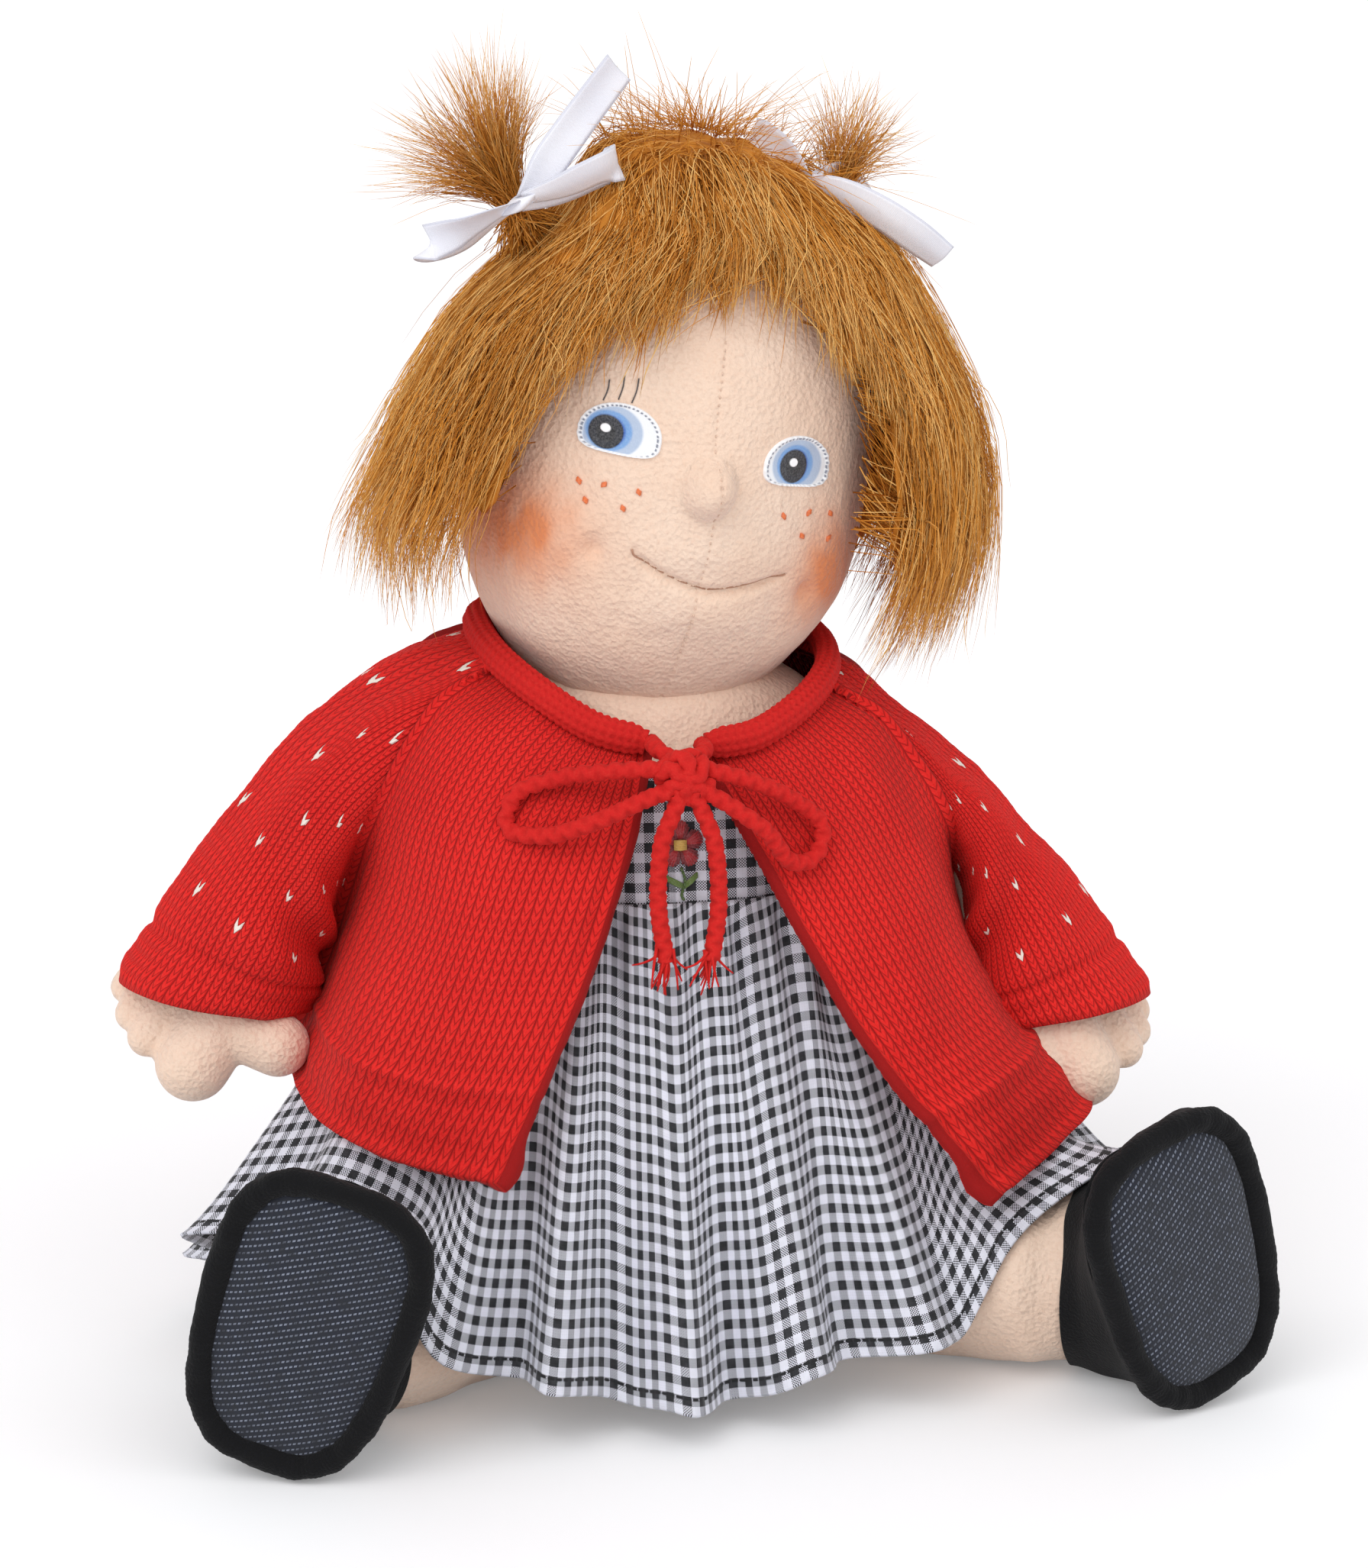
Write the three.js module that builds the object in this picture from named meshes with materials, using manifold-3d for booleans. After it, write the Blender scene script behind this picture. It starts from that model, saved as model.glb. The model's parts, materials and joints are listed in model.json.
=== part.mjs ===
// A seated soft doll: stuffed fleece head, body and limbs, a fur wig with two ribboned bunches,
// a gathered gingham dress, a knitted raglan cardigan tied with a cord, and felt shoes.
// Millimetres, +Z up. The doll faces -Y and its own left is +X. The floor is z = 0.
import * as THREE from "three";
import { mergeVertices } from "three/addons/utils/BufferGeometryUtils.js";
import Module from "manifold-3d";

const wasm = await Module();
wasm.setup();

// Fabrics: thicknesses, and the clearance kept between neighbouring layers
const GAP = 0.4;
const FLEECE = 1.6;
const COTTON = 1.2;
const KNIT = 2.4;
const FELT = 2;
const SHOE_EASE = 1.3;
const PATCH = 1.2;

// Body
const TORSO_WIDTH = 132;
const TORSO_DEPTH = 104;
const SHOULDER_HEIGHT = 172;
const NECK_RADIUS = 22;
const NECK_LENGTH = 13;

// Arms, measured from the shoulder seam
const SHOULDER_SPREAD = 86;
const SHOULDER_DROP = { left: 26, right: 14 };
const SHOULDER_BACK = 6;
const ARM_LENGTH = 98;
const ARM_RADIUS = 20.5;
const WRIST_RADIUS = 14;
const HAND_WIDTH = 38;
const HAND_THICKNESS = 26;
const HAND_LENGTH = 40;
const THUMB_RADIUS = 7.5;
const THUMB_LENGTH = 22;
const ARM_TILT = { left: 25, right: 32 };
const ARM_FORWARD = { left: 24, right: 10 };

// Legs, measured from the hip seam
const HIP_SPREAD = { left: 54, right: 44 };
const HIP_FORWARD = 30;
const LEG_LENGTH = 108;
const THIGH_RADIUS = 28;
const ANKLE_RADIUS = 25;
const LEG_LIFT = 1;
const HIP_RAISE = 4;
const HIP_GAP = 0.15;
const SPLAY = { left: 66, right: 52 };
const FOOT_TURN = { left: 40, right: 36 };

// Shoes
const SHOE_LENGTH = 88;
const SHOE_WIDTH = 62;
const SHOE_DEPTH = 46;
const BINDING_RADIUS = 5;
const SOLE_PAD = 4;
const TOE_LEAN = 18;

// Head, carried on the neck
const HEAD_WIDTH = 108;
const HEAD_DEPTH = 106;
const HEAD_HEIGHT = 144;
const HEAD_SQUARENESS = 2.3;
const HEAD_SINK = 4;
const HEAD_SHIFT = -6;
const HEAD_YAW = 5;
const HEAD_ROLL = 10;
const HEAD_PITCH = -1;
const NOSE_RADIUS = 8.5;
const EYE_WIDTH = 19;
const EYE_HEIGHT = 15;
const EYE_SPACING = 51;
const EYE_RISE = 4;
const NOSE_RISE = -5;

// Wig
const HAIR_WIDTH = 178;
const HAIR_CROWN = 13;
const HAIR_DROP = 52;
const FACE_OPENING = 94;
const FRINGE_RISE = 38;
const HAIR_FLOOR = 20;
const BUNCH_LENGTH = { left: 31, right: 46 };
const BUNCH_RADIUS = { left: 15, right: 19 };
const BUNCH_NECK = 4;
const BUNCH_LIFT = 0.8;
const BUNCH_DROP = { left: -5, right: 17 };
const RIBBON_WIDTH = 9.5;
const RIBBON_THICKNESS = 0.9;
const KNOT_RADIUS = 4.5;
const BOW_LOOP = 26;
const BOW_TAIL = { left: 24, right: 36 };

// Dress
const BODICE_EASE = 0.8;
const WAIST_HEIGHT = 134;
const NECKLINE_HEIGHT = 170;
const KNICKERS_HEIGHT = 58;
const SKIRT_FRONT = 92;
const SKIRT_SIDE = 108;
const SKIRT_LAP = { left: 127, right: 123 };
const SKIRT_SWING = { left: -1, right: 9 };
const SKIRT_SPAN = { left: 24, right: 28 };
const SKIRT_FOLDS = 12;
const FOLD_DEPTH = 3.5;
const COLUMNS_PER_FOLD = 5;
const LAP_EASE = 7;
const LAP_SLOPE = { inside: 1.5, outside: 0.6 };
const HEM_LIFT = 1.5;
const FLOWER_RADIUS = 6.5;

// Cardigan
const CARDIGAN_NECK = 48;
const CARDIGAN_RISE = 13;
const CARDIGAN_SIDE = 70;
const CARDIGAN_HEM = 99;
const CARDIGAN_HEM_HEIGHT = 72;
const CARDIGAN_LAP = 117;
const ARM_PRESS = 0.12;
const LEFT_SAG = 8;
const FRONT_DROP = 13;
const COLLAR_RADIUS = 4;
const SLEEVE_LENGTH = 68;
const SLEEVE_EASE = 0.4;
const SLEEVE_CLEARANCE = { left: 9.8, right: 0.9 };
const CUFF_RADIUS = 22.5;
const CORD_DIAMETER = 4.6;
const TAIL_DROP = 48;

// Points round each form
const ROUND = 18;
const LIMB_ROUND = 12;
const CORD_SIDES = 8;

// Heights and joints that follow from the sizes above
const SEAT = COTTON + GAP;
const NECK_TOP = SHOULDER_HEIGHT + NECK_LENGTH;
const HIP_Z = THIGH_RADIUS + LEG_LIFT;
const HIP_BALL = THIGH_RADIUS;
const HEAD_CENTRE_Z = HEAD_HEIGHT / 2 - HEAD_SINK;
const SLEEVE_ROOT = ARM_RADIUS + GAP + SLEEVE_EASE + KNIT;
const ARMHOLE_RADIUS = SLEEVE_ROOT + 2 * GAP;
const SIDES = { left: 1, right: -1 };
const sideName = (side) => (side > 0 ? "left" : "right");

const radians = THREE.MathUtils.degToRad;
const lerp = THREE.MathUtils.lerp;
const X = new THREE.Vector3(1, 0, 0);
const Y = new THREE.Vector3(0, 1, 0);
const Z = new THREE.Vector3(0, 0, 1);
const at = (x, y, z) => new THREE.Vector3(x, y, z);

// Meshing helpers

// A closed BufferGeometry from points and triangle indices, turned so that its faces point out.
function closed(points, faces) {
  let volume = 0;
  for (let i = 0; i < faces.length; i += 3) {
    const [a, b, c] = [points[faces[i]], points[faces[i + 1]], points[faces[i + 2]]];
    volume += a.dot(b.clone().cross(c));
  }
  const index = volume > 0 ? faces : faces.toReversed();
  return new THREE.BufferGeometry().setFromPoints(points).setIndex(index);
}

// Two triangles for the cell between points a-b of one row and d-c of the next.
const cell = (a, b, c, d) => [a, b, c, a, c, d];

// Rings joined into one skin: a loop of rings closes on itself, and otherwise both ends are capped.
function skin(rings, loop = false) {
  const count = rings[0].length;
  const points = rings.flat();
  const faces = [];
  const spans = loop ? rings.length : rings.length - 1;
  for (let i = 0; i < spans; i++) {
    const next = (i + 1) % rings.length;
    for (let j = 0; j < count; j++) {
      const k = (j + 1) % count;
      faces.push(...cell(i * count + j, i * count + k, next * count + k, next * count + j));
    }
  }
  if (!loop) {
    const ends = [rings[0], rings.at(-1)];
    ends.forEach((ring, end) => {
      const start = end * (rings.length - 1) * count;
      const middle = points.length;
      points.push(ring.reduce((sum, p) => sum.add(p), at(0, 0, 0)).divideScalar(count));
      for (let j = 0; j < count; j++) {
        const k = (j + 1) % count;
        faces.push(...(end ? [start + j, start + k, middle] : [start + k, start + j, middle]));
      }
    });
  }
  return closed(points, faces);
}

// A sheet of cloth between an outer and an inner grid of points, wrapped round on itself or with two side edges.
function sheet(outer, inner, wrap) {
  const rows = outer.length;
  const count = outer[0].length;
  const points = [...outer.flat(), ...inner.flat()];
  const under = rows * count;
  const faces = [];
  const spans = wrap ? count : count - 1;
  for (let j = 0; j < spans; j++) {
    const k = (j + 1) % count;
    for (let i = 0; i < rows - 1; i++) {
      const [a, b, c, d] = [i * count + j, i * count + k, (i + 1) * count + k, (i + 1) * count + j];
      faces.push(...cell(a, b, c, d), ...cell(under + d, under + c, under + b, under + a));
    }
    const last = (rows - 1) * count;
    faces.push(...cell(j, under + j, under + k, k));
    faces.push(...cell(last + k, under + last + k, under + last + j, last + j));
  }
  for (let i = 0; i < rows - 1 && !wrap; i++) {
    const [a, d] = [i * count, (i + 1) * count];
    const [b, c] = [a + count - 1, d + count - 1];
    faces.push(...cell(a, d, under + d, under + a), ...cell(b, under + b, under + c, c));
  }
  return closed(points, faces);
}

// An oval ring in the plane of two axes.
function oval(centre, u, v, ru, rv, count) {
  return Array.from({ length: count }, (_, j) => {
    const turn = (2 * Math.PI * j) / count;
    return centre
      .clone()
      .addScaledVector(u, ru * Math.cos(turn))
      .addScaledVector(v, rv * Math.sin(turn));
  });
}

function solidOf(geometry) {
  const bare = geometry.clone();
  bare.deleteAttribute("normal");
  bare.deleteAttribute("uv");
  const merged = mergeVertices(bare, 1e-4);
  return new wasm.Manifold(
    new wasm.Mesh({
      numProp: 3,
      vertProperties: new Float32Array(merged.attributes.position.array),
      triVerts: new Uint32Array(merged.index.array),
    }),
  );
}

function geometryOf(solid) {
  const made = solid.getMesh();
  return new THREE.BufferGeometry()
    .setAttribute("position", new THREE.BufferAttribute(new Float32Array(made.vertProperties), 3))
    .setIndex(new THREE.BufferAttribute(new Uint32Array(made.triVerts), 1));
}

const cut = (geometry, ...tools) =>
  geometryOf(tools.reduce((solid, tool) => solid.subtract(solidOf(tool)), solidOf(geometry)));
const join = (...pieces) => geometryOf(pieces.map(solidOf).reduce((a, b) => a.add(b)));
const common = (a, b) => geometryOf(solidOf(a).intersect(solidOf(b)));

// A box between two corners, and a ball.
function block(low, high) {
  const size = high.clone().sub(low);
  const middle = low.clone().add(high).divideScalar(2);
  return new THREE.BoxGeometry(size.x, size.y, size.z).translate(middle.x, middle.y, middle.z);
}
const ball = (centre, radius, count = ROUND) =>
  new THREE.SphereGeometry(radius, count, count / 2).translate(centre.x, centre.y, centre.z);

// A round cord along points.
function cord(points, diameter) {
  const path = new THREE.CatmullRomCurve3(points);
  const section = new THREE.Shape().absarc(0, 0, diameter / 2, 0, 2 * Math.PI);
  const steps = Math.max(4, Math.round(path.getLength() / (1.2 * diameter)));
  return new THREE.ExtrudeGeometry(section, {
    extrudePath: path,
    steps,
    curveSegments: CORD_SIDES / 2,
    bevelEnabled: false,
  });
}

// Materials

const cloth = (colour, roughness = 0.95) =>
  new THREE.MeshStandardMaterial({ color: colour, roughness, metalness: 0 });
const FABRICS = {
  skin: cloth("#e9cdb4"),
  stuffing: cloth("#f4f2ec"),
  fur: cloth("#b4742c", 0.7),
  satin: cloth("#eeeef6", 0.35),
  eye: cloth("#7fa3d8", 0.6),
  gingham: cloth("#8b8b90"),
  white_cotton: cloth("#e8e6e6"),
  embroidery: cloth("#b3262a", 0.6),
  red_knit: cloth("#c4161c"),
  black_felt: cloth("#17171a"),
  denim: cloth("#2a3040"),
};

function mesh(name, geometry, fabric) {
  const made = new THREE.Mesh(geometry, FABRICS[fabric]);
  made.name = name;
  return made;
}

// Torso: rings from the seat to the neck, as shares of its height, width and depth

const TORSO_FORM = [
  [0, 0.62, 0.66],
  [0.03, 0.82, 0.84],
  [0.12, 0.96, 0.97],
  [0.3, 1, 1],
  [0.55, 0.98, 0.96],
  [0.78, 0.99, 0.88],
  [0.92, 1, 0.78],
  [1, 0.7, 0.64],
];

// Half width and half depth of the bare torso at a height.
function torsoAt(height) {
  const share = THREE.MathUtils.clamp((height - SEAT) / (SHOULDER_HEIGHT - SEAT), 0, 1);
  const i = Math.max(1, TORSO_FORM.findIndex(([h]) => h >= share));
  const [low, high] = [TORSO_FORM[i - 1], TORSO_FORM[i]];
  const t = (share - low[0]) / (high[0] - low[0]);
  return {
    width: (lerp(low[1], high[1], t) * TORSO_WIDTH) / 2,
    depth: (lerp(low[2], high[2], t) * TORSO_DEPTH) / 2,
  };
}

const torsoRing = (height, out) => {
  const { width, depth } = torsoAt(height);
  return oval(at(0, 0, height), X, Y, width + out, depth + out, ROUND);
};

// The torso's rings grown by a layer, negative for what lies inside its skin.
function torsoRings(out) {
  const heights = TORSO_FORM.map(([share]) => lerp(SEAT, SHOULDER_HEIGHT, share));
  const rings = heights.map((height, i) => {
    const shift = i === 0 ? -out : i === heights.length - 1 ? out : 0;
    return torsoRing(height, out).map((p) => p.add(at(0, 0, shift)));
  });
  const base = NECK_RADIUS + out;
  const shoulder = SHOULDER_HEIGHT + NECK_LENGTH / 3 + out;
  rings.push(oval(at(0, 0, shoulder), X, Y, base * 1.1, base * 1.1, ROUND));
  rings.push(oval(at(0, 0, NECK_TOP), X, Y, base, base, ROUND));
  return rings;
}

// Room that each thigh sweeps as the leg swings down, taken out of the seat.
function hipRoom(side, clearance) {
  const radius = THIGH_RADIUS + clearance;
  const inner = HIP_SPREAD[sideName(side)] - HIP_BALL - clearance;
  const outer = TORSO_WIDTH;
  const around = radius / Math.cos(Math.PI / (2 * ROUND));
  const barrel = new THREE.CylinderGeometry(around, around, outer - inner, 2 * ROUND)
    .rotateZ(Math.PI / 2)
    .translate((side * (inner + outer)) / 2, -HIP_FORWARD, HIP_Z);
  const reach = TORSO_DEPTH;
  const below = block(
    at(side > 0 ? inner : -outer, -reach, -HIP_Z),
    at(side > 0 ? outer : -inner, radius - HIP_FORWARD, HIP_Z),
  );
  const ahead = block(
    at(side > 0 ? inner : -outer, -reach, HIP_Z - GAP),
    at(side > 0 ? outer : -inner, -HIP_FORWARD, HIP_Z + radius + HIP_RAISE),
  );
  return join(barrel, below, ahead);
}
const hipRooms = (clearance) => [hipRoom(1, clearance), hipRoom(-1, clearance)];
const shoulderAt = (side) =>
  at(side * SHOULDER_SPREAD, SHOULDER_BACK, SHOULDER_HEIGHT - SHOULDER_DROP[sideName(side)]);
const shoulderRooms = (radius) => [1, -1].map((side) => ball(shoulderAt(side), radius));

function torso() {
  const inside = torsoRings(-FLEECE);
  const mouth = inside.at(-1).map((p) => p.clone().add(at(0, 0, FLEECE)));
  const cover = cut(skin(torsoRings(0)), skin([...inside, mouth]));
  const stuffing = skin(torsoRings(-FLEECE - GAP).slice(0, -1));
  const rooms = [...hipRooms(HIP_GAP), ...shoulderRooms(ARM_RADIUS + GAP)];
  const inner = [...hipRooms(FLEECE + 2 * GAP), ...shoulderRooms(ARM_RADIUS + FLEECE + 2 * GAP)];
  return [
    mesh("torso_cover", cut(cover, ...rooms), "skin"),
    mesh("torso_stuffing", cut(stuffing, ...inner), "stuffing"),
  ];
}

// Dress: knickers, bodice and a gathered skirt that drapes over the lap

function knickers() {
  const heights = TORSO_FORM.map(([share]) => lerp(SEAT, SHOULDER_HEIGHT, share));
  const low = heights.filter((height) => height < KNICKERS_HEIGHT - GAP);
  const outside = [...low, KNICKERS_HEIGHT].map((height, i) => {
    const ring = torsoRing(height, GAP + COTTON);
    return i ? ring : ring.map((p) => p.setZ(0));
  });
  const inside = [...low, KNICKERS_HEIGHT].map((height, i) => {
    const ring = torsoRing(height, GAP);
    return i ? ring : ring.map((p) => p.setZ(COTTON));
  });
  return mesh("knickers", cut(skin([...outside, ...inside.toReversed()]), ...hipRooms(GAP)), "white_cotton");
}

function bodice() {
  const rows = 4;
  const grid = (out) =>
    Array.from({ length: rows }, (_, i) =>
      torsoRing(lerp(WAIST_HEIGHT + GAP, NECKLINE_HEIGHT, i / (rows - 1)), out));
  const tube = sheet(grid(BODICE_EASE + COTTON), grid(BODICE_EASE), true);
  return mesh("dress_bodice", cut(tube, ...shoulderRooms(ARMHOLE_RADIUS)), "gingham");
}

// A five-petalled flower sewn on the chest.
function flower() {
  const height = lerp(WAIST_HEIGHT, NECKLINE_HEIGHT, 0.35);
  const outline = new THREE.Shape(
    Array.from({ length: 30 }, (_, i) => {
      const turn = (2 * Math.PI * i) / 30;
      const radius = FLOWER_RADIUS * (0.8 + 0.2 * Math.cos(5 * turn));
      return new THREE.Vector2(radius * Math.sin(turn), radius * Math.cos(turn));
    }),
  );
  const front = (torsoAt(height - FLOWER_RADIUS).depth + BODICE_EASE + COTTON) * Math.cos(Math.PI / ROUND);
  const petals = new THREE.ExtrudeGeometry(outline, { depth: PATCH, bevelEnabled: false, steps: 1 })
    .rotateX(Math.PI / 2)
    .translate(0, -front - GAP, height);
  return mesh("dress_flower", petals, "embroidery");
}

const splay = (side) => radians(SPLAY[sideName(side)]);

// Height of the cloth over a leg at a point of the floor, falling away on both sides as a tent.
function lapHeight(side, x, y) {
  const angle = side * splay(side);
  const [dx, dy] = [x - side * HIP_SPREAD[sideName(side)], y + HIP_FORWARD];
  const along = dx * Math.sin(angle) - dy * Math.cos(angle);
  const outwards = side * (dx * Math.cos(angle) + dy * Math.sin(angle));
  const across = Math.abs(outwards);
  const slope = outwards > 0 ? LAP_SLOPE.outside : LAP_SLOPE.inside;
  const radius = THIGH_RADIUS + LAP_EASE;
  const crest = 0.6 * radius;
  const round = Math.sqrt(radius ** 2 - Math.min(across, crest) ** 2);
  const behind = Math.max(0, -along);
  return HIP_Z + round - slope * Math.max(0, across - crest) - behind;
}

// Height of the hanging cloth at a share of the way out to the plain hem.
function skirtFall(share) {
  const left = 1 - Math.min(1, share);
  return lerp(HEM_LIFT, WAIST_HEIGHT, left ** 1.25);
}

// How far the hem lies from the body's middle, all round: drawn out over each leg, and where it would lie without
// them.
function hemReach(turn) {
  const plain = lerp(SKIRT_FRONT, SKIRT_SIDE, (1 - Math.cos(turn)) / 2);
  let lap = plain;
  for (const [name, side] of Object.entries(SIDES)) {
    const away = turn - side * (splay(side) + radians(SKIRT_SWING[name]));
    const share = Math.atan2(Math.sin(away), Math.cos(away)) / radians(SKIRT_SPAN[name]);
    lap += (SKIRT_LAP[name] - plain) * Math.exp(-(share ** 4));
  }
  return [lap, plain];
}

function skirtPoint(turn, t) {
  const { width, depth } = torsoAt(WAIST_HEIGHT);
  const waist = BODICE_EASE + COTTON + GAP;
  const [lap, plain] = hemReach(turn);
  const reach = lap + FOLD_DEPTH * t * Math.cos(SKIRT_FOLDS * turn);
  const start = Math.hypot((width + waist + COTTON) * Math.sin(turn), (depth + waist + COTTON) * Math.cos(turn));
  const x = lerp(width + waist + COTTON, reach, t) * Math.sin(turn);
  const y = -lerp(depth + waist + COTTON, reach, t) * Math.cos(turn);
  const fall = skirtFall((t * (lap - start)) / (plain - start));
  const over = Math.max(lapHeight(1, x, y), lapHeight(-1, x, y));
  return at(x, y, t > 0 ? Math.max(fall, over, HEM_LIFT) : fall);
}

function skirt() {
  const columns = COLUMNS_PER_FOLD * SKIRT_FOLDS;
  const rows = 8;
  const step = 1e-3;
  const outer = [];
  const inner = [];
  for (let i = 0; i <= rows; i++) {
    const t = i / rows;
    const turns = Array.from({ length: columns }, (_, j) => (2 * Math.PI * j) / columns);
    outer.push(turns.map((turn) => skirtPoint(turn, t)));
    inner.push(
      turns.map((turn) => {
        const [low, high] = [Math.max(0, t - 0.06), Math.min(1, t + 0.06)];
        const down = skirtPoint(turn, high).sub(skirtPoint(turn, low));
        const round = skirtPoint(turn + step, t).sub(skirtPoint(turn - step, t));
        const inwards = round.cross(down).normalize();
        const p = skirtPoint(turn, t).addScaledVector(inwards, COTTON);
        return p.setZ(Math.max(p.z, HEM_LIFT));
      }),
    );
  }
  return mesh("dress_skirt", sheet(outer, inner, true), "gingham");
}

// Cardigan: a flared shell in three panels with armholes, a rolled collar and two sleeves

const cardiganFall = new THREE.CatmullRomCurve3([
  at(CARDIGAN_NECK, SHOULDER_HEIGHT + CARDIGAN_RISE, 0),
  at(lerp(CARDIGAN_NECK, CARDIGAN_SIDE, 0.72), SHOULDER_HEIGHT + 0.4 * CARDIGAN_RISE, 0),
  at(CARDIGAN_SIDE, SHOULDER_HEIGHT - SHOULDER_DROP.right, 0),
  at(CARDIGAN_SIDE, WAIST_HEIGHT, 0),
  at(lerp(CARDIGAN_SIDE, CARDIGAN_HEM, 0.26), lerp(WAIST_HEIGHT, CARDIGAN_HEM_HEIGHT, 0.35), 0),
  at(lerp(CARDIGAN_SIDE, CARDIGAN_HEM, 0.56), lerp(WAIST_HEIGHT, CARDIGAN_HEM_HEIGHT, 0.72), 0),
  at(CARDIGAN_HEM, CARDIGAN_HEM_HEIGHT, 0),
  at(CARDIGAN_LAP, CARDIGAN_HEM_HEIGHT - 4, 0),
]);

// Share of the fall curve's length that reaches the plain hem, its last point but one; past it the left front
// lies on along the lap.
const fallLengths = cardiganFall.getLengths(100 * (cardiganFall.points.length - 1));
const PLAIN_FALL = fallLengths.at(-101) / fallLengths.at(-1);

function cardiganPoint(turn, t, out) {
  const away = (turn - radians(38)) / radians(26);
  const fall = lerp(PLAIN_FALL, 1, Math.exp(-away * away));
  const share = t * fall;
  const { x: reach, y: height } = cardiganFall.getPointAt(share);
  const front = Math.max(0, Math.cos(turn));
  const sag = LEFT_SAG * ((1 + Math.sin(turn)) / 2) ** 2;
  const drop = FRONT_DROP * front * (1 - t) ** 2 + sag * (1 - t) ** 4;
  const slope = cardiganFall.getTangentAt(share);
  const press = 1 - ARM_PRESS * share ** 4 * Math.max(0, Math.sin(turn)) ** 3;
  const r = press * (reach - slope.y * out);
  const flat = lerp(0.93, 0.96, share);
  return at(r * Math.sin(turn), -r * flat * Math.cos(turn), height + slope.x * out - drop);
}

function panel(name, from, to) {
  const [rows, columns] = [8, 8];
  const grid = (out) =>
    Array.from({ length: rows + 1 }, (_, i) => {
      const t = i / rows;
      return Array.from({ length: columns + 1 }, (_, j) =>
        cardiganPoint(lerp(from(t), to(t), j / columns), t, out));
    });
  const shell = sheet(grid(KNIT), grid(0), false);
  return mesh(name, cut(shell, ...shoulderRooms(ARMHOLE_RADIUS)), "red_knit");
}

const SEAM = radians(0.25);
const OPENING_TOP = radians(5);
const COLLAR_START = radians(8);
const OPENING_HEM = { left: radians(34), right: radians(32) };

function cardiganPanels() {
  const side = Math.PI / 2;
  const openLeft = (t) => lerp(OPENING_TOP, OPENING_HEM.left, t);
  const openRight = (t) => -lerp(OPENING_TOP, OPENING_HEM.right, t);
  return [
    panel("cardigan_front_left", openLeft, () => side - SEAM),
    panel("cardigan_front_right", () => SEAM - side, openRight),
    panel("cardigan_back", () => side + SEAM, () => 3 * side - SEAM),
  ];
}

// The collar's middle line, riding on the panels' top edge from one front corner round to the other.
function collarPoint(turn) {
  const rim = cardiganPoint(turn, 0, KNIT / 2);
  return rim.add(at(0, 0, COLLAR_RADIUS + KNIT / 2 + GAP));
}

function collar() {
  const steps = 22;
  const rings = Array.from({ length: steps + 1 }, (_, i) => {
    const turn = lerp(COLLAR_START, 2 * Math.PI - COLLAR_START, i / steps);
    const outward = at(Math.sin(turn), -Math.cos(turn), 0);
    return oval(collarPoint(turn), outward, Z, 0.7 * COLLAR_RADIUS, COLLAR_RADIUS, CORD_SIDES);
  });
  return mesh("cardigan_collar", skin(rings), "red_knit");
}

// The cord that ties the cardigan, laid on its front: two leads from the collar, a knot, two loops and two tails.
// Each point is a turn round the body in degrees, a share of the way down and a lift off the knitting.
const TIE_KNOT_SHARE = 0.13;
const TIE_LOOPS = {
  left: [[16, 0.13, 5], [26, 0.15, 2], [33, 0.2, 2], [33, 0.27, 2], [25, 0.29, 3], [17, 0.22, 5]],
  right: [[-16, 0.13, 5], [-27, 0.14, 2], [-36, 0.18, 2], [-37, 0.25, 2], [-28, 0.25, 3], [-18, 0.21, 5]],
};

function tieCords() {
  const radius = CORD_DIAMETER / 2;
  const knotRadius = 1.5 * CORD_DIAMETER;
  const onFront = ([turn, share, lift]) =>
    cardiganPoint(radians(turn), share, KNIT + GAP + radius + lift);
  const knotAt = cardiganPoint(0, TIE_KNOT_SHARE, KNIT + GAP + knotRadius);
  knotAt.x = 0;
  // Two points straight out of the knot towards a third, so that a cord's end faces the knot.
  const leave = (towards) => {
    const out = towards.clone().sub(knotAt).normalize();
    return [GAP, GAP + radius].map((far) => knotAt.clone().addScaledVector(out, knotRadius + far));
  };
  const pieces = [mesh("tie_knot", ball(knotAt, knotRadius, 12), "red_knit")];
  for (const [name, side] of Object.entries(SIDES)) {
    const corner = collarPoint(side * COLLAR_START).add(at(0, -0.7 * COLLAR_RADIUS - GAP, 0));
    const shoulder = knotAt.clone().add(at(side * knotRadius, 0.5 * knotRadius, 1.6 * knotRadius));
    const lead = [corner, corner.clone().add(at(0, -radius, 0)), ...leave(shoulder).toReversed()];
    pieces.push(mesh(`tie_lead_${name}`, cord(lead, CORD_DIAMETER), "red_knit"));
    const loop = TIE_LOOPS[name].map(onFront);
    const path = [...leave(loop[0]), ...loop, ...leave(loop.at(-1)).toReversed()];
    pieces.push(mesh(`tie_loop_${name}`, cord(path, CORD_DIAMETER), "red_knit"));
    const below = (x, y, drop) => knotAt.clone().add(at(side * x, -y, -drop * TAIL_DROP));
    const tail = [below(7, 5, 0.35), below(8, 6, 0.68), below(6, 7, 1)];
    pieces.push(mesh(`tie_tail_${name}`, cord([...leave(tail[0]), ...tail], CORD_DIAMETER), "red_knit"));
  }
  return pieces;
}

// Arm, hanging along -Z from the shoulder in its own group, thumb forward

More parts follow.
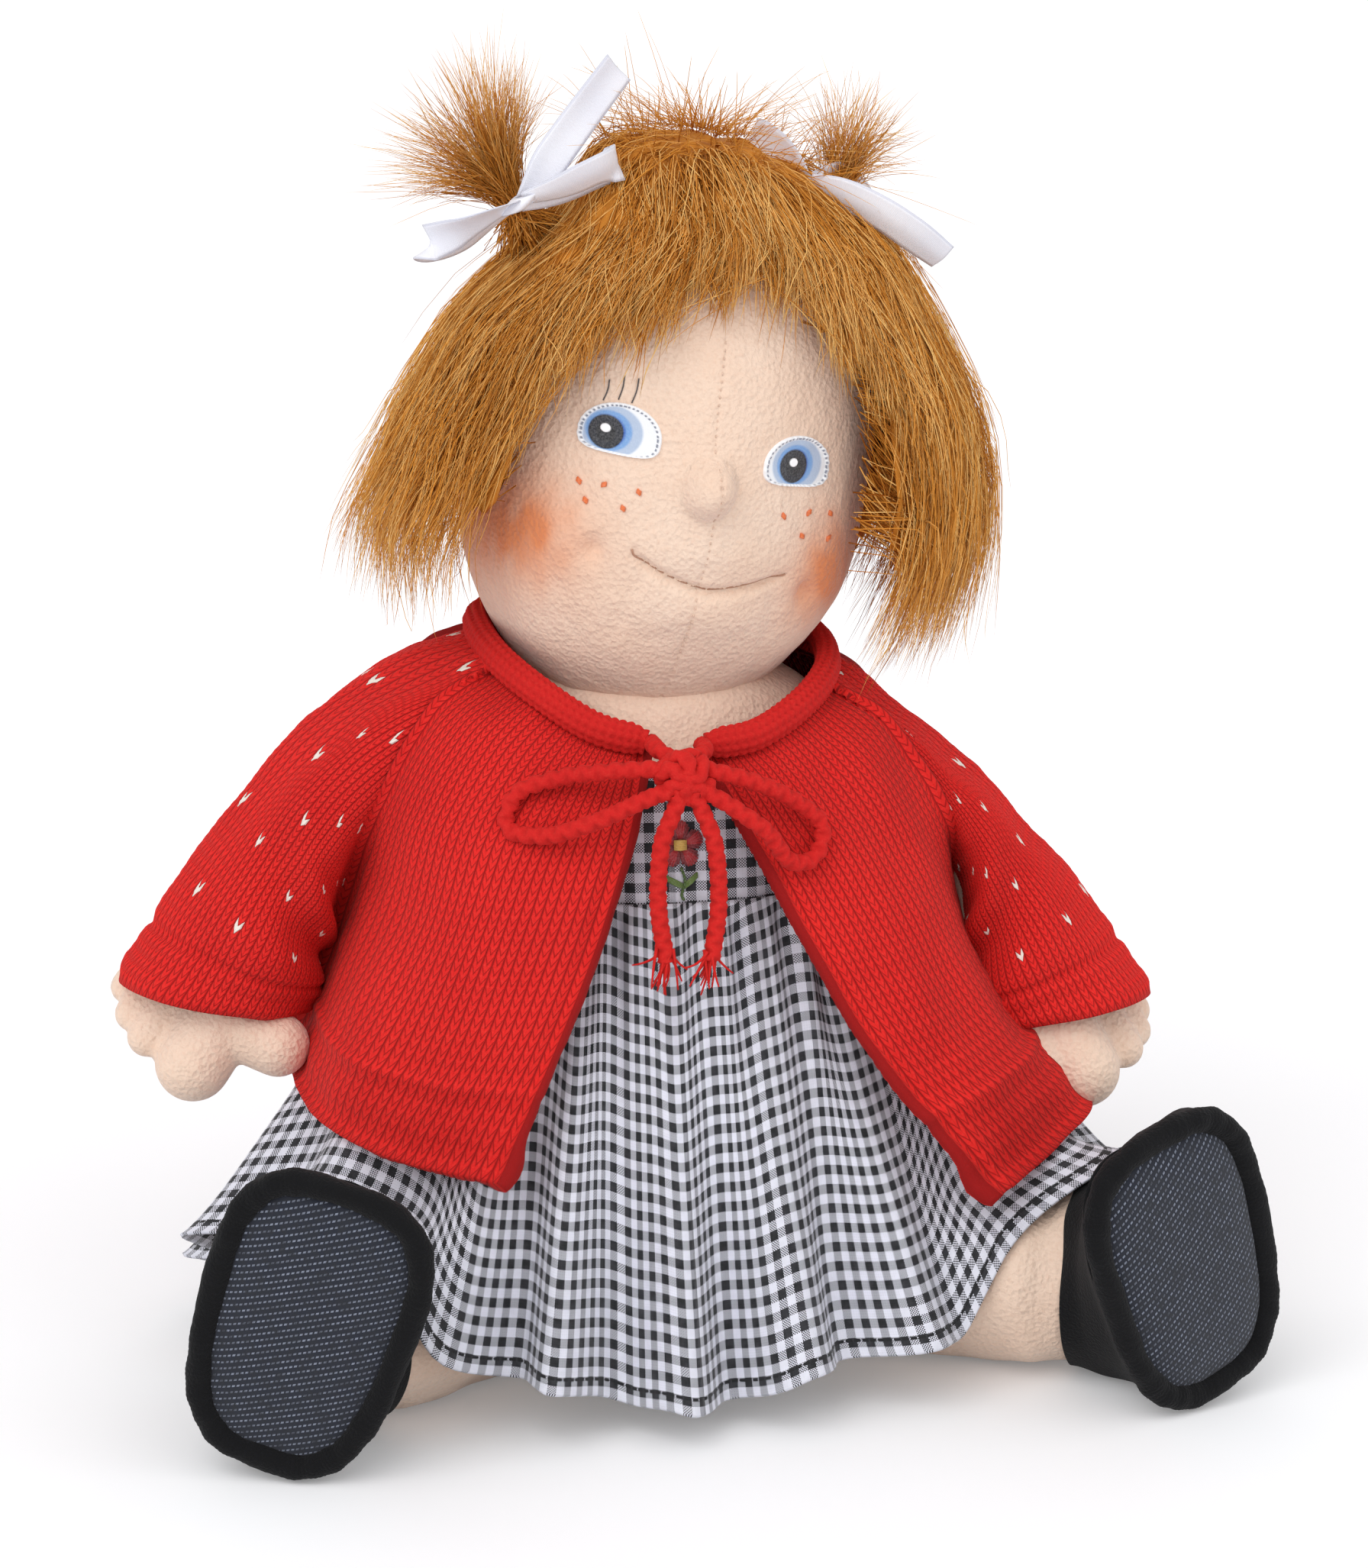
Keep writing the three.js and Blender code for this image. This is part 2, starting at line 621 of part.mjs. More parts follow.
function armForm() {
  const wrist = ARM_LENGTH - HAND_LENGTH;
  const [wide, thick] = [HAND_WIDTH / 2, HAND_THICKNESS / 2];
  return [
    [-0.94 * ARM_RADIUS, 0.34 * ARM_RADIUS, 0.34 * ARM_RADIUS],
    [-0.7 * ARM_RADIUS, 0.71 * ARM_RADIUS, 0.71 * ARM_RADIUS],
    [0, ARM_RADIUS, ARM_RADIUS],
    [0.5 * wrist, lerp(ARM_RADIUS, WRIST_RADIUS, 0.45), lerp(ARM_RADIUS, WRIST_RADIUS, 0.45)],
    [wrist, WRIST_RADIUS, WRIST_RADIUS],
    [wrist + 0.32 * HAND_LENGTH, thick, 0.94 * wide],
    [wrist + 0.62 * HAND_LENGTH, thick, wide],
    [wrist + 0.88 * HAND_LENGTH, 0.72 * thick, 0.72 * wide],
    [ARM_LENGTH, 0.3 * thick, 0.3 * wide],
  ];
}

const armRings = (inset) =>
  armForm().map(([down, thick, wide], i, all) => {
    const end = i === 0 ? inset : i === all.length - 1 ? -inset : 0;
    return oval(at(0, 0, -down - end), X, Y, wide - inset, thick - inset, LIMB_ROUND);
  });

// The thumb's axis runs from the palm's inner edge, forward, down and towards the body.
function thumb(side) {
  const root = -(ARM_LENGTH - 0.72 * HAND_LENGTH);
  const along = at(-0.5 * side, -0.7, -0.5).normalize();
  const across = along.clone().cross(Z).normalize();
  const above = across.clone().cross(along);
  const form = [[0, 0.9], [0.35, 1], [0.7, 0.9], [0.92, 0.6], [1, 0.25]];
  const start = at(-0.2 * side * HAND_WIDTH, 0, root);
  return skin(form.map(([t, share]) => {
    const centre = start.clone().addScaledVector(along, t * (THUMB_LENGTH + 0.2 * HAND_WIDTH));
    return oval(centre, across, above, share * THUMB_RADIUS, share * THUMB_RADIUS, LIMB_ROUND);
  }));
}

function sleeve() {
  const form = [
    [-0.8 * ARM_RADIUS, 0.72 * SLEEVE_ROOT],
    [-0.45 * ARM_RADIUS, 0.95 * SLEEVE_ROOT],
    [0.2 * SLEEVE_LENGTH, SLEEVE_ROOT],
    [0.6 * SLEEVE_LENGTH, lerp(SLEEVE_ROOT, CUFF_RADIUS, 0.8)],
    [0.94 * SLEEVE_LENGTH, CUFF_RADIUS],
    [SLEEVE_LENGTH, CUFF_RADIUS - 0.5],
  ];
  const grid = (inset) =>
    form.map(([down, radius]) => oval(at(0, 0, -down), X, Y, radius - inset, radius - inset, LIMB_ROUND));
  return sheet(grid(0), grid(KNIT), true);
}

function arm(name, side) {
  const reachOut = 2 * ARM_LENGTH + SHOULDER_HEIGHT;
  const group = new THREE.Group();
  group.position.copy(shoulderAt(side));
  group.rotation.set(-radians(ARM_FORWARD[name]), -side * radians(ARM_TILT[name]), 0);
  group.updateMatrix();
  const trim = CARDIGAN_SIDE + KNIT + SLEEVE_CLEARANCE[name];
  const bodySide = block(at(-trim, -reachOut, -reachOut), at(trim, reachOut, reachOut))
    .applyMatrix4(group.matrix.clone().invert());
  const outside = armRings(0);
  const inside = armRings(FLEECE).slice(2);
  const rim = oval(at(0, 0, 0.5 * ARM_RADIUS), X, Y, 0.6 * ARM_RADIUS, 0.6 * ARM_RADIUS, LIMB_ROUND);
  const cover = join(skin([...outside, ...inside.toReversed(), rim].slice(0, outside.length)), thumb(side));
  const hollow = skin([rim.map((p) => p.clone().setZ(1.2 * ARM_RADIUS)), rim, ...inside]);
  const stuffing = skin(armRings(FLEECE + GAP).slice(2));
  group.add(mesh(`arm_cover_${name}`, cut(cover, hollow), "skin"));
  group.add(mesh(`arm_stuffing_${name}`, stuffing, "stuffing"));
  group.add(mesh(`cardigan_sleeve_${name}`, cut(sleeve(), bodySide), "red_knit"));
  return group;
}

// Leg, lying along -Y from the hip in its own group, the foot's toe pointing up and leaning inwards

const BINDING_WIDE = SHOE_WIDTH / 2 - BINDING_RADIUS;
const BINDING_LONG = SHOE_LENGTH / 2 - BINDING_RADIUS;
const LEAN = radians(TOE_LEAN);
const FOOT_Z = Math.hypot(BINDING_LONG * Math.cos(LEAN), BINDING_WIDE * Math.sin(LEAN)) + BINDING_RADIUS - HIP_Z;

// Points turned inwards about the ankle's upright axis, by a share of the foot's turn.
function turned(points, side, share) {
  const ankle = at(0, SHOE_DEPTH - LEG_LENGTH, 0);
  const angle = -side * share * radians(FOOT_TURN[sideName(side)]);
  return points.map((p) => p.clone().sub(ankle).applyAxisAngle(Z, angle).add(ankle));
}
const TURN_SHARES = [0, 0.4, 0.8, 1];

// The foot's rings: distance along the leg, lift above the leg's axis, half width and half height.
function footForm() {
  const sole = LEG_LENGTH - SOLE_PAD - GAP;
  const ankle = LEG_LENGTH - SHOE_DEPTH;
  const [wide, long] = [BINDING_WIDE - FELT - GAP, BINDING_LONG - FELT - GAP];
  return [
    [ankle, 0, ANKLE_RADIUS, ANKLE_RADIUS],
    [lerp(ankle, sole, 0.35), 0.3 * FOOT_Z, lerp(ANKLE_RADIUS, wide, 0.4), lerp(ANKLE_RADIUS, long, 0.35)],
    [lerp(ankle, sole, 0.72), 0.8 * FOOT_Z, wide, lerp(ANKLE_RADIUS, long, 0.8)],
    [sole, FOOT_Z, wide, long],
  ];
}

function footRings(side, out, count = ROUND) {
  const wide = X.clone().applyAxisAngle(Y, -side * LEAN);
  const tall = Z.clone().applyAxisAngle(Y, -side * LEAN);
  return footForm().map(([along, lift, ru, rv], i) =>
    turned(oval(at(0, -along, lift), wide, tall, ru + out, rv + out, count), side, TURN_SHARES[i]));
}

function legRings(side, inset) {
  const knee = 0.45 * LEG_LENGTH;
  const form = [
    [-0.97 * HIP_BALL, 0.243 * HIP_BALL],
    [-0.87 * HIP_BALL, 0.493 * HIP_BALL],
    [-0.7 * HIP_BALL, 0.714 * HIP_BALL],
    [-0.35 * HIP_BALL, 0.937 * HIP_BALL],
    [0, HIP_BALL],
    [0.5 * knee, THIGH_RADIUS],
    [knee, THIGH_RADIUS],
  ];
  const wide = X.clone().applyAxisAngle(Y, -side * LEAN);
  const tall = Z.clone().applyAxisAngle(Y, -side * LEAN);
  const rings = form.map(([along, radius], i) =>
    oval(at(0, -along - (i ? 0 : inset), 0), wide, tall, radius - inset, radius - inset, ROUND));
  const foot = footRings(side, -inset);
  const back = turned([at(0, 0, 0), at(0, inset, 0)], side, 1);
  foot.at(-1).forEach((p) => p.add(back[1]).sub(back[0]));
  return [...rings, ...foot];
}

function shoeUpper(side) {
  const cuff = -(LEG_LENGTH - SHOE_DEPTH);
  const grid = (out) => footRings(side, out).map((ring, i) => (i ? ring : ring.map((p) => p.setY(cuff))));
  return sheet(grid(SHOE_EASE + FELT), grid(SHOE_EASE), true);
}

function solePad(side) {
  const wide = X.clone().applyAxisAngle(Y, -side * LEAN);
  const tall = Z.clone().applyAxisAngle(Y, -side * LEAN);
  const inset = BINDING_RADIUS + GAP;
  const ring = (along, shrink) =>
    turned(
      oval(at(0, -along, FOOT_Z), wide, tall, BINDING_WIDE - inset - shrink, BINDING_LONG - inset - shrink, ROUND),
      side,
      1,
    );
  return skin([
    ring(LEG_LENGTH - SOLE_PAD, 0),
    ring(LEG_LENGTH - 0.3 * SOLE_PAD, 0),
    ring(LEG_LENGTH + 0.3 * SOLE_PAD, 0.35 * BINDING_WIDE),
  ]);
}

function binding(side) {
  const wide = X.clone().applyAxisAngle(Y, -side * LEAN);
  const tall = Z.clone().applyAxisAngle(Y, -side * LEAN);
  const middle = at(0, -(LEG_LENGTH - SOLE_PAD) - BINDING_RADIUS, FOOT_Z);
  const path = oval(middle, wide, tall, BINDING_WIDE, BINDING_LONG, 28);
  const normals = oval(at(0, 0, 0), wide, tall, BINDING_LONG, BINDING_WIDE, 28);
  const rings = path.map((p, i) =>
    turned(oval(p, normals[i].normalize(), Y, BINDING_RADIUS, BINDING_RADIUS, CORD_SIDES), side, 1));
  return skin(rings, true);
}

function leg(name, side) {
  const group = new THREE.Group();
  group.position.set(side * HIP_SPREAD[name], -HIP_FORWARD, HIP_Z);
  group.rotation.z = side * splay(side);
  const outside = legRings(side, 0);
  const inside = legRings(side, FLEECE);
  const mouth = inside[1].map((p) => p.clone().setY(1.2 * HIP_BALL));
  const cover = cut(skin(outside), skin([mouth, ...inside.slice(1)]));
  group.add(mesh(`leg_cover_${name}`, cover, "skin"));
  group.add(mesh(`leg_stuffing_${name}`, skin(legRings(side, FLEECE + GAP).slice(1)), "stuffing"));
  group.add(mesh(`shoe_upper_${name}`, shoeUpper(side), "black_felt"));
  group.add(mesh(`shoe_sole_${name}`, solePad(side), "denim"));
  group.add(mesh(`shoe_binding_${name}`, binding(side), "black_felt"));
  return group;
}

// Head, in a group that stands on the neck

const HEAD_LEVELS = [-0.985, -0.9, -0.74, -0.5, -0.2, 0.1, 0.4, 0.66, 0.85, 0.95, 0.99];
const headSection = (level) =>
  (1 - Math.abs(level) ** HEAD_SQUARENESS) ** (1 / HEAD_SQUARENESS);

function headRings(out) {
  const half = HEAD_HEIGHT / 2 + out;
  return HEAD_LEVELS.map((level) => {
    const share = headSection(level);
    const centre = at(0, 0, HEAD_CENTRE_Z + level * half);
    return oval(centre, X, Y, share * (HEAD_WIDTH / 2 + out), share * (HEAD_DEPTH / 2 + out), ROUND);
  });
}

// A patch that hugs the face: the part of a layer over the head inside an oval peg from the front.
function facePatch(x, z, width, height, thickness) {
  const layer = cut(skin(headRings(GAP + thickness)), skin(headRings(GAP)));
  const peg = new THREE.CylinderGeometry(0.5, 0.5, HEAD_DEPTH, LIMB_ROUND)
    .scale(width, 1, height)
    .translate(x, -HEAD_DEPTH / 2, z);
  return common(layer, peg);
}

const HAIR_FORM = [
  [0.62, 0.03],
  [0.6, 0.24],
  [0.5, 0.43],
  [0.32, 0.62],
  [0.1, 0.87],
  [-0.1, 0.97],
  [-0.28, 1],
  [-0.5, 0.93],
];

// Outer rings of the wig: a bell that flares to the side ends of the hair.
function hairRings() {
  const top = HEAD_HEIGHT / 2 + HAIR_CROWN;
  const span = top + HAIR_DROP;
  return HAIR_FORM.map(([rise, share]) => {
    const height = HEAD_CENTRE_Z - HAIR_DROP + (span * (rise + 0.5)) / 1.12;
    const radius = (share * HAIR_WIDTH) / 2;
    return oval(at(0, 0, height), X, Y, radius, 0.92 * radius, ROUND);
  });
}

// Half width of the wig at a height, between the two rings it lies between.
function hairRadius(height) {
  const rings = hairRings();
  const i = rings.findIndex((ring) => ring[0].z <= height);
  const [high, low] = [rings[i - 1][0], rings[i][0]];
  return lerp(low.x, high.x, (height - low.z) / (high.z - low.z));
}

// A line of flat ribbon through points, its width along one direction, closed into a loop or with two ends.
function ribbon(points, across, loop) {
  const path = new THREE.CatmullRomCurve3(points, loop);
  const steps = 12;
  const rings = Array.from({ length: loop ? steps : steps + 1 }, (_, i) => {
    const centre = path.getPoint(i / steps);
    const thick = path.getTangent(i / steps).cross(across).normalize();
    const [w, t] = [RIBBON_WIDTH / 2, RIBBON_THICKNESS / 2];
    return [[w, t], [-w, t], [-w, -t], [w, -t]].map(([a, b]) =>
      centre.clone().addScaledVector(across, a).addScaledVector(thick, b));
  });
  return skin(rings, loop);
}

// A bunch of hair and its ribbon bow. The base point lies on the wig, out points away from it,
// along runs with the bow's loops and lean is the way the bunch sprays.
function bunch(name, side, base, out, along, lean) {
  const across = out.clone().cross(along).normalize();
  if (across.y > 0) across.negate();
  const tuftForm = [[0, 1, 0], [0.12, 1.1, 0], [0.4, 0, 0.6], [0.75, 0, 1], [0.95, 0, 0.75], [1, 0, 0.3]];
  const spray = lean.clone().normalize();
  const [u, v] = [across.clone(), across.clone().cross(spray).normalize()];
  const tuft = skin(
    tuftForm.map(([t, neck, flare]) => {
      const radius = neck * BUNCH_NECK + flare * BUNCH_RADIUS[name];
      const centre = base.clone().addScaledVector(spray, BUNCH_LIFT + t * BUNCH_LENGTH[name]);
      return oval(centre, u, v, radius, radius, LIMB_ROUND);
    }),
  );
  const knotAt = base
    .clone()
    .addScaledVector(across, 1.2 * BUNCH_NECK + KNOT_RADIUS + 2 * GAP)
    .addScaledVector(out, KNOT_RADIUS + GAP);
  const knot = ball(knotAt, KNOT_RADIUS, 12);
  const place = (a, w) => knotAt.clone().addScaledVector(along, a).addScaledVector(out, w);
  const near = 0.95 * (KNOT_RADIUS + GAP);
  const pieces = [
    mesh(`hair_bunch_${name}`, tuft, "fur"),
    mesh(`hair_ribbon_knot_${name}`, knot, "satin"),
  ];
  for (const [end, way] of [["inner", -side], ["outer", side]]) {
    const start = KNOT_RADIUS + 2 * GAP;
    const far = start + BOW_LOOP;
    const path = [
      place(way * start, 0.6), place(way * lerp(start, far, 0.55), 4.5), place(way * far, 2),
      place(way * (far + 0.5), 0), place(way * lerp(start, far, 0.55), -2.2), place(way * start, -0.8),
    ];
    pieces.push(mesh(`hair_ribbon_loop_${end}_${name}`, ribbon(path, across, true), "satin"));
  }
  const tail = [near, lerp(near, BOW_TAIL[name], 0.5), BOW_TAIL[name]].map((far) =>
    place(-side * 0.75 * far, 0.66 * far));
  pieces.push(mesh(`hair_ribbon_tail_${name}`, ribbon(tail, across, false), "satin"));
  return pieces;
}

function head() {
  const group = new THREE.Group();
  group.position.set(HEAD_SHIFT, 0, NECK_TOP);
  group.rotation.set(radians(HEAD_PITCH), radians(HEAD_ROLL), radians(HEAD_YAW), "ZYX");
  group.updateMatrix();
  const back = group.matrix.clone().invert();
  const reach = 2 * HAIR_WIDTH;
  const floorTo = (height) =>
    block(at(-reach, -reach, -reach), at(reach, reach, height)).applyMatrix4(back);
  const neckSeat = floorTo(NECK_TOP + GAP);
  const shell = cut(skin(headRings(0)), skin(headRings(-FLEECE)), neckSeat);
  const bung = ball(at(0, 0, HEAD_CENTRE_Z - HEAD_HEIGHT / 2), 0.75 * NECK_RADIUS, LIMB_ROUND);
  const stuffing = cut(skin(headRings(-FLEECE - GAP)), floorTo(NECK_TOP + FLEECE + 2 * GAP));
  group.add(mesh("head_cover", cut(shell, bung), "skin"));
  group.add(mesh("head_stuffing", cut(stuffing, bung), "stuffing"));
  const eyeZ = HEAD_CENTRE_Z + EYE_RISE;
  for (const [name, side] of Object.entries(SIDES)) {
    const patch = facePatch((side * EYE_SPACING) / 2, eyeZ, EYE_WIDTH, EYE_HEIGHT, PATCH);
    group.add(mesh(`eye_${name}`, patch, "eye"));
  }
  const noseAt = at(0, -HEAD_DEPTH / 2 - 0.15 * NOSE_RADIUS, HEAD_CENTRE_Z + NOSE_RISE);
  group.add(mesh("nose", cut(ball(noseAt, NOSE_RADIUS, LIMB_ROUND), skin(headRings(GAP))), "skin"));
  const opening = block(
    at(-FACE_OPENING / 2, -reach, -reach),
    at(FACE_OPENING / 2, -0.12 * HEAD_DEPTH, HEAD_CENTRE_Z + FRINGE_RISE),
  );
  const wig = cut(skin(hairRings()), skin(headRings(GAP)), opening, floorTo(NECK_TOP + HAIR_FLOOR));
  group.add(mesh("hair_cap", wig, "fur"));
  const hairTop = HEAD_CENTRE_Z + HEAD_HEIGHT / 2;
  const bunches = {
    left: [at(0.7, 0.2, 0.7), at(0.66, 0, -0.75)],
    right: [at(-0.8, 0, 0.7), at(0.66, 0, 0.75)],
  };
  for (const [name, side] of Object.entries(SIDES)) {
    const [lean, along] = bunches[name];
    const height = hairTop - BUNCH_DROP[name];
    const base = at(side * hairRadius(height), 0, height);
    const out = at(0.75 * side, -0.1, 0.66).normalize();
    group.add(...bunch(name, side, base, out, along.normalize(), lean));
  }
  return group;
}

// The whole doll, with the middle of its base at the origin

const doll = new THREE.Group();
doll.add(...torso(), knickers(), bodice(), flower(), skirt());
doll.add(...cardiganPanels(), collar(), ...tieCords());
for (const [name, side] of Object.entries(SIDES)) doll.add(arm(name, side), leg(name, side));
doll.add(head());
const box = new THREE.Box3().setFromObject(doll, true);
const middle = box.getCenter(at(0, 0, 0));
doll.position.set(-middle.x, -middle.y, -box.min.z);
const part = new THREE.Group();
part.add(doll);

export default part;
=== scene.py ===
"""A seated soft doll with a fur wig, a gingham dress, a knitted cardigan and felt shoes.

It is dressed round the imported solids. Shapes are worked out in the doll's own millimetres: it faces -Y, its
left is +X and the floor is z = 0.
"""

import json
import math

import bmesh
import bpy
import numpy as np
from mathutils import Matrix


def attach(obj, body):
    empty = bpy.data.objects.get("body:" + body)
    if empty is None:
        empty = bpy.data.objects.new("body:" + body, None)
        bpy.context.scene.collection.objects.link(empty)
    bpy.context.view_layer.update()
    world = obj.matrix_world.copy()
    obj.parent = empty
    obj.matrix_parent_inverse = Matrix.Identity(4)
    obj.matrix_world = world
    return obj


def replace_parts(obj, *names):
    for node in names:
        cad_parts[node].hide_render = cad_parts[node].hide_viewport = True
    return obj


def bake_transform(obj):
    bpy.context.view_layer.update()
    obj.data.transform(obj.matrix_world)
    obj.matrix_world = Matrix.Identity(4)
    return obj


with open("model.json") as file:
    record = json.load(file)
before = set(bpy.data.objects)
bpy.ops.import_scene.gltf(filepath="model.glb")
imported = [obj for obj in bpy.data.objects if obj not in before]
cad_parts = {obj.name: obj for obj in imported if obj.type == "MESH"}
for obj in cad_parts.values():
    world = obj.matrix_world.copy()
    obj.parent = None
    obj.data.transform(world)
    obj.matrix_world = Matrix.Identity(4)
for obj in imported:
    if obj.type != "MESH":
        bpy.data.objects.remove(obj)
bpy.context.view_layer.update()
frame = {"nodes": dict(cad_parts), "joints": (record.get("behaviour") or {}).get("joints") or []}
scene = bpy.context.scene
rng = np.random.default_rng(7)

MM = 0.001
NECK_TOP = 185.0
JOINTS = {joint["name"]: np.array(joint["pos_m"]) for joint in frame["joints"]}
ORIGIN = JOINTS["neck_turn"] - np.array([0, 0, NECK_TOP * MM])
SIDES = {"left": 1, "right": -1}


def row(points):
    """Points of the doll in metres, in the shared frame."""
    return ORIGIN + MM * np.asarray(points, float)


# Numbers and curves


def lerp(a, b, t):
    return a + (b - a) * t


def smooth(low, high, x):
    t = np.clip((np.asarray(x, float) - low) / (high - low), 0, 1)
    return t * t * (3 - 2 * t)


def hill(x, y, centre, radii):
    """A round bump that is 1 at its centre and fades out at about twice its radii."""
    return np.exp(-(((x - centre[0]) / radii[0]) ** 2) - ((y - centre[1]) / radii[1]) ** 2)


def ridge(x, middle, width):
    """A bump along one direction that is 1 at its middle and fades out at about twice its width."""
    return np.exp(-(((x - middle) / width) ** 2))


def stacked(*values):
    """Arrays spread to one shape and put side by side along a new last axis."""
    return np.stack(np.broadcast_arrays(*values), -1)


def unit(v):
    v = np.asarray(v, float)
    return v / np.maximum(np.linalg.norm(v, axis=-1, keepdims=True), 1e-9)


def turn(axis, degrees):
    """The matrix of a turn about one of the three axes."""
    c, s = math.cos(math.radians(degrees)), math.sin(math.radians(degrees))
    return np.array({
        "x": [[1, 0, 0], [0, c, -s], [0, s, c]],
        "y": [[c, 0, s], [0, 1, 0], [-s, 0, c]],
        "z": [[c, -s, 0], [s, c, 0], [0, 0, 1]],
    }[axis])


def circle(count):
    """Angles of a full turn in even steps."""
    return np.linspace(0, 2 * math.pi, count, endpoint=False)


def pingpong(x, top):
    """Up from 0 to the top and down again, over and over."""
    return top - np.abs(x % (2 * top) - top)


def curve_at(points, t):
    """Values on the smooth curve through the points, at places counted in points."""
    p = np.asarray(points, float)
    t = np.asarray(t, float)
    pad = np.concatenate([2 * p[:1] - p[1:2], p, 2 * p[-1:] - p[-2:-1]])
    i = np.clip(t.astype(int), 0, len(p) - 2)
    f = (t - i).reshape(t.shape + (1,) * (p.ndim - 1))
    a, b, c, d = pad[i], pad[i + 1], pad[i + 2], pad[i + 3]
    return b + 0.5 * f * (c - a + f * (2 * a - 5 * b + 4 * c - d + f * (3 * (b - c) + d - a)))


def run_along(path):
    """How far along a path each of its points lies."""
    return np.concatenate([[0], np.cumsum(np.linalg.norm(np.diff(path, axis=0), axis=1))])


def route(points, count):
    """Evenly spread points along the smooth curve through the given ones."""
    fine = curve_at(points, np.linspace(0, len(points) - 1, 60 * len(points)))
    run = run_along(fine)
    even = np.linspace(0, run[-1], count)
    return np.stack([np.interp(even, run, fine[:, k]) for k in range(fine.shape[1])], 1)


def length_of(points):
    return float(np.linalg.norm(np.diff(points, axis=0), axis=1).sum())


def loft(grid, rows, columns):
    """A smooth surface through a grid of control points."""
    grid = np.asarray(grid, float)
    tall = curve_at(grid, np.linspace(0, len(grid) - 1, rows))
    wide = curve_at(tall.swapaxes(0, 1), np.linspace(0, grid.shape[1] - 1, columns))
    return wide.swapaxes(0, 1)


def ripple(points, size, seed):
    """Slow smooth unevenness of about -1 to 1, with waves of about this size."""
    own = np.random.default_rng(seed)
    total = 0
    for _ in range(6):
        way = unit(own.normal(size=3)) * own.uniform(0.7, 1.4) * 2 * math.pi / size
        total = total + np.sin(np.asarray(points) @ way + own.uniform(0, 6.28))
    return total / 3


def normals(grid, wrap=False):
    """Unit normals of a grid of points, columns crossed with rows."""
    if wrap:
        across = np.roll(grid, -1, 1) - np.roll(grid, 1, 1)
    else:
        across = np.gradient(grid, axis=1)
    return unit(np.cross(across, np.gradient(grid, axis=0)))


# Meshes


def make(name, points, faces, material, body=None, uv=None, **values):
    """An object from points in the doll's millimetres and arrays of faces, with values kept on its points."""
    mesh = bpy.data.meshes.new(name)
    points = row(points)
    sizes = np.concatenate([np.full(len(f), f.shape[1]) for f in faces])
    corners = np.concatenate([np.asarray(f).ravel() for f in faces]).astype(np.int32)
    mesh.vertices.add(len(points))
    mesh.vertices.foreach_set("co", points.astype(np.float32).ravel())
    mesh.loops.add(len(corners))
    mesh.loops.foreach_set("vertex_index", corners)
    mesh.polygons.add(len(sizes))
    mesh.polygons.foreach_set("loop_start", np.concatenate([[0], np.cumsum(sizes)[:-1]]).astype(np.int32))
    mesh.update(calc_edges=True)
    mesh.shade_smooth()
    if uv is not None:
        layer = mesh.uv_layers.new(name="cloth")
        layer.data.foreach_set("uv", np.asarray(uv, np.float32)[corners].ravel())
    for key, value in values.items():
        colour = np.ndim(value) == 2
        attribute = mesh.attributes.new(key, "FLOAT_COLOR" if colour else "FLOAT", "POINT")
        if colour:
            value = np.concatenate([value, np.ones((len(value), 1))], 1)
        attribute.data.foreach_set("color" if colour else "value", np.asarray(value, np.float32).ravel())
    mesh.materials.append(material)
    made = bpy.data.objects.new(name, mesh)
    scene.collection.objects.link(made)
    if body:
        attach(made, body)
    return made


def quads(rows, columns, wrap=False, start=0):
    """Faces of a grid of points, turned as its normals are."""
    i = np.arange(rows - 1)[:, None]
    j = np.arange(columns if wrap else columns - 1)[None, :]
    k = (j + 1) % columns
    cells = [i * columns + j, i * columns + k, (i + 1) * columns + k, (i + 1) * columns + j]
    return start + stacked(*cells).reshape(-1, 4)


def sheet_faces(rows, columns, step, wrap):
    """Faces of a closed sheet: a grid, a coarser one under it and the rims between them."""
    low_rows = (rows - 1) // step + 1
    low_columns = columns // step if wrap else (columns - 1) // step + 1
    base = rows * columns
    top = lambda i, j: i * columns + j % columns
    under = lambda i, j: base + i * low_columns + j % low_columns
    rims = []
    for j in range(low_columns if wrap else low_columns - 1):
        run = range(j * step, (j + 1) * step + 1)
        rims.append([top(0, c) for c in reversed(run)] + [under(0, j), under(0, j + 1)])
        rims.append([top(rows - 1, c) for c in run] + [under(low_rows - 1, j + 1), under(low_rows - 1, j)])
    for i in range(0 if wrap else low_rows - 1):
        run = range(i * step, (i + 1) * step + 1)
        last = low_columns - 1
        rims.append([top(r, 0) for r in run] + [under(i + 1, 0), under(i, 0)])
        rims.append([top(r, columns - 1) for r in reversed(run)] + [under(i, last), under(i + 1, last)])
    lower = quads(low_rows, low_columns, wrap, base)[:, ::-1]
    return [quads(rows, columns, wrap), lower, np.array(rims)]


def faces_out(grid, wrap):
    """Whether a grid's normals point away from its rings' middles, or without rings from the body's axis."""
    middle = grid.mean(1, keepdims=True) if wrap else grid * np.array([0, 0, 1.0])
    return np.sum(normals(grid, wrap) * (grid - middle)) > 0


def cloth(name, grid, thickness, material, body=None, uv=None, wrap=False, step=1, **values):
    """A closed sheet of cloth whose outside is the grid, as thick as given all over or at each point."""
    rows, columns = grid.shape[:2]
    thickness = np.broadcast_to(np.asarray(thickness, float), (rows, columns))
    if not faces_out(grid, wrap):
        grid, thickness = grid[:, ::-1], thickness[:, ::-1]
        uv = uv if uv is None else uv[:, ::-1]
        values = {k: v[:, ::-1] for k, v in values.items()}
    inner = grid - normals(grid, wrap) * thickness[..., None]
    pick = (slice(None, None, step), slice(None, None, step))
    both = lambda v: np.concatenate([v.reshape(rows * columns, -1), v[pick].reshape(-1, v.shape[2])])
    points = np.concatenate([grid.reshape(-1, 3), inner[pick].reshape(-1, 3)])
    if uv is not None:
        uv = both(uv)
    values = {k: both(v[..., None] if v.ndim == 2 else v) for k, v in values.items()}
    values = {k: v[:, 0] if v.shape[1] == 1 else v for k, v in values.items()}
    return make(name, points, sheet_faces(rows, columns, step, wrap), material, body, uv, **values)


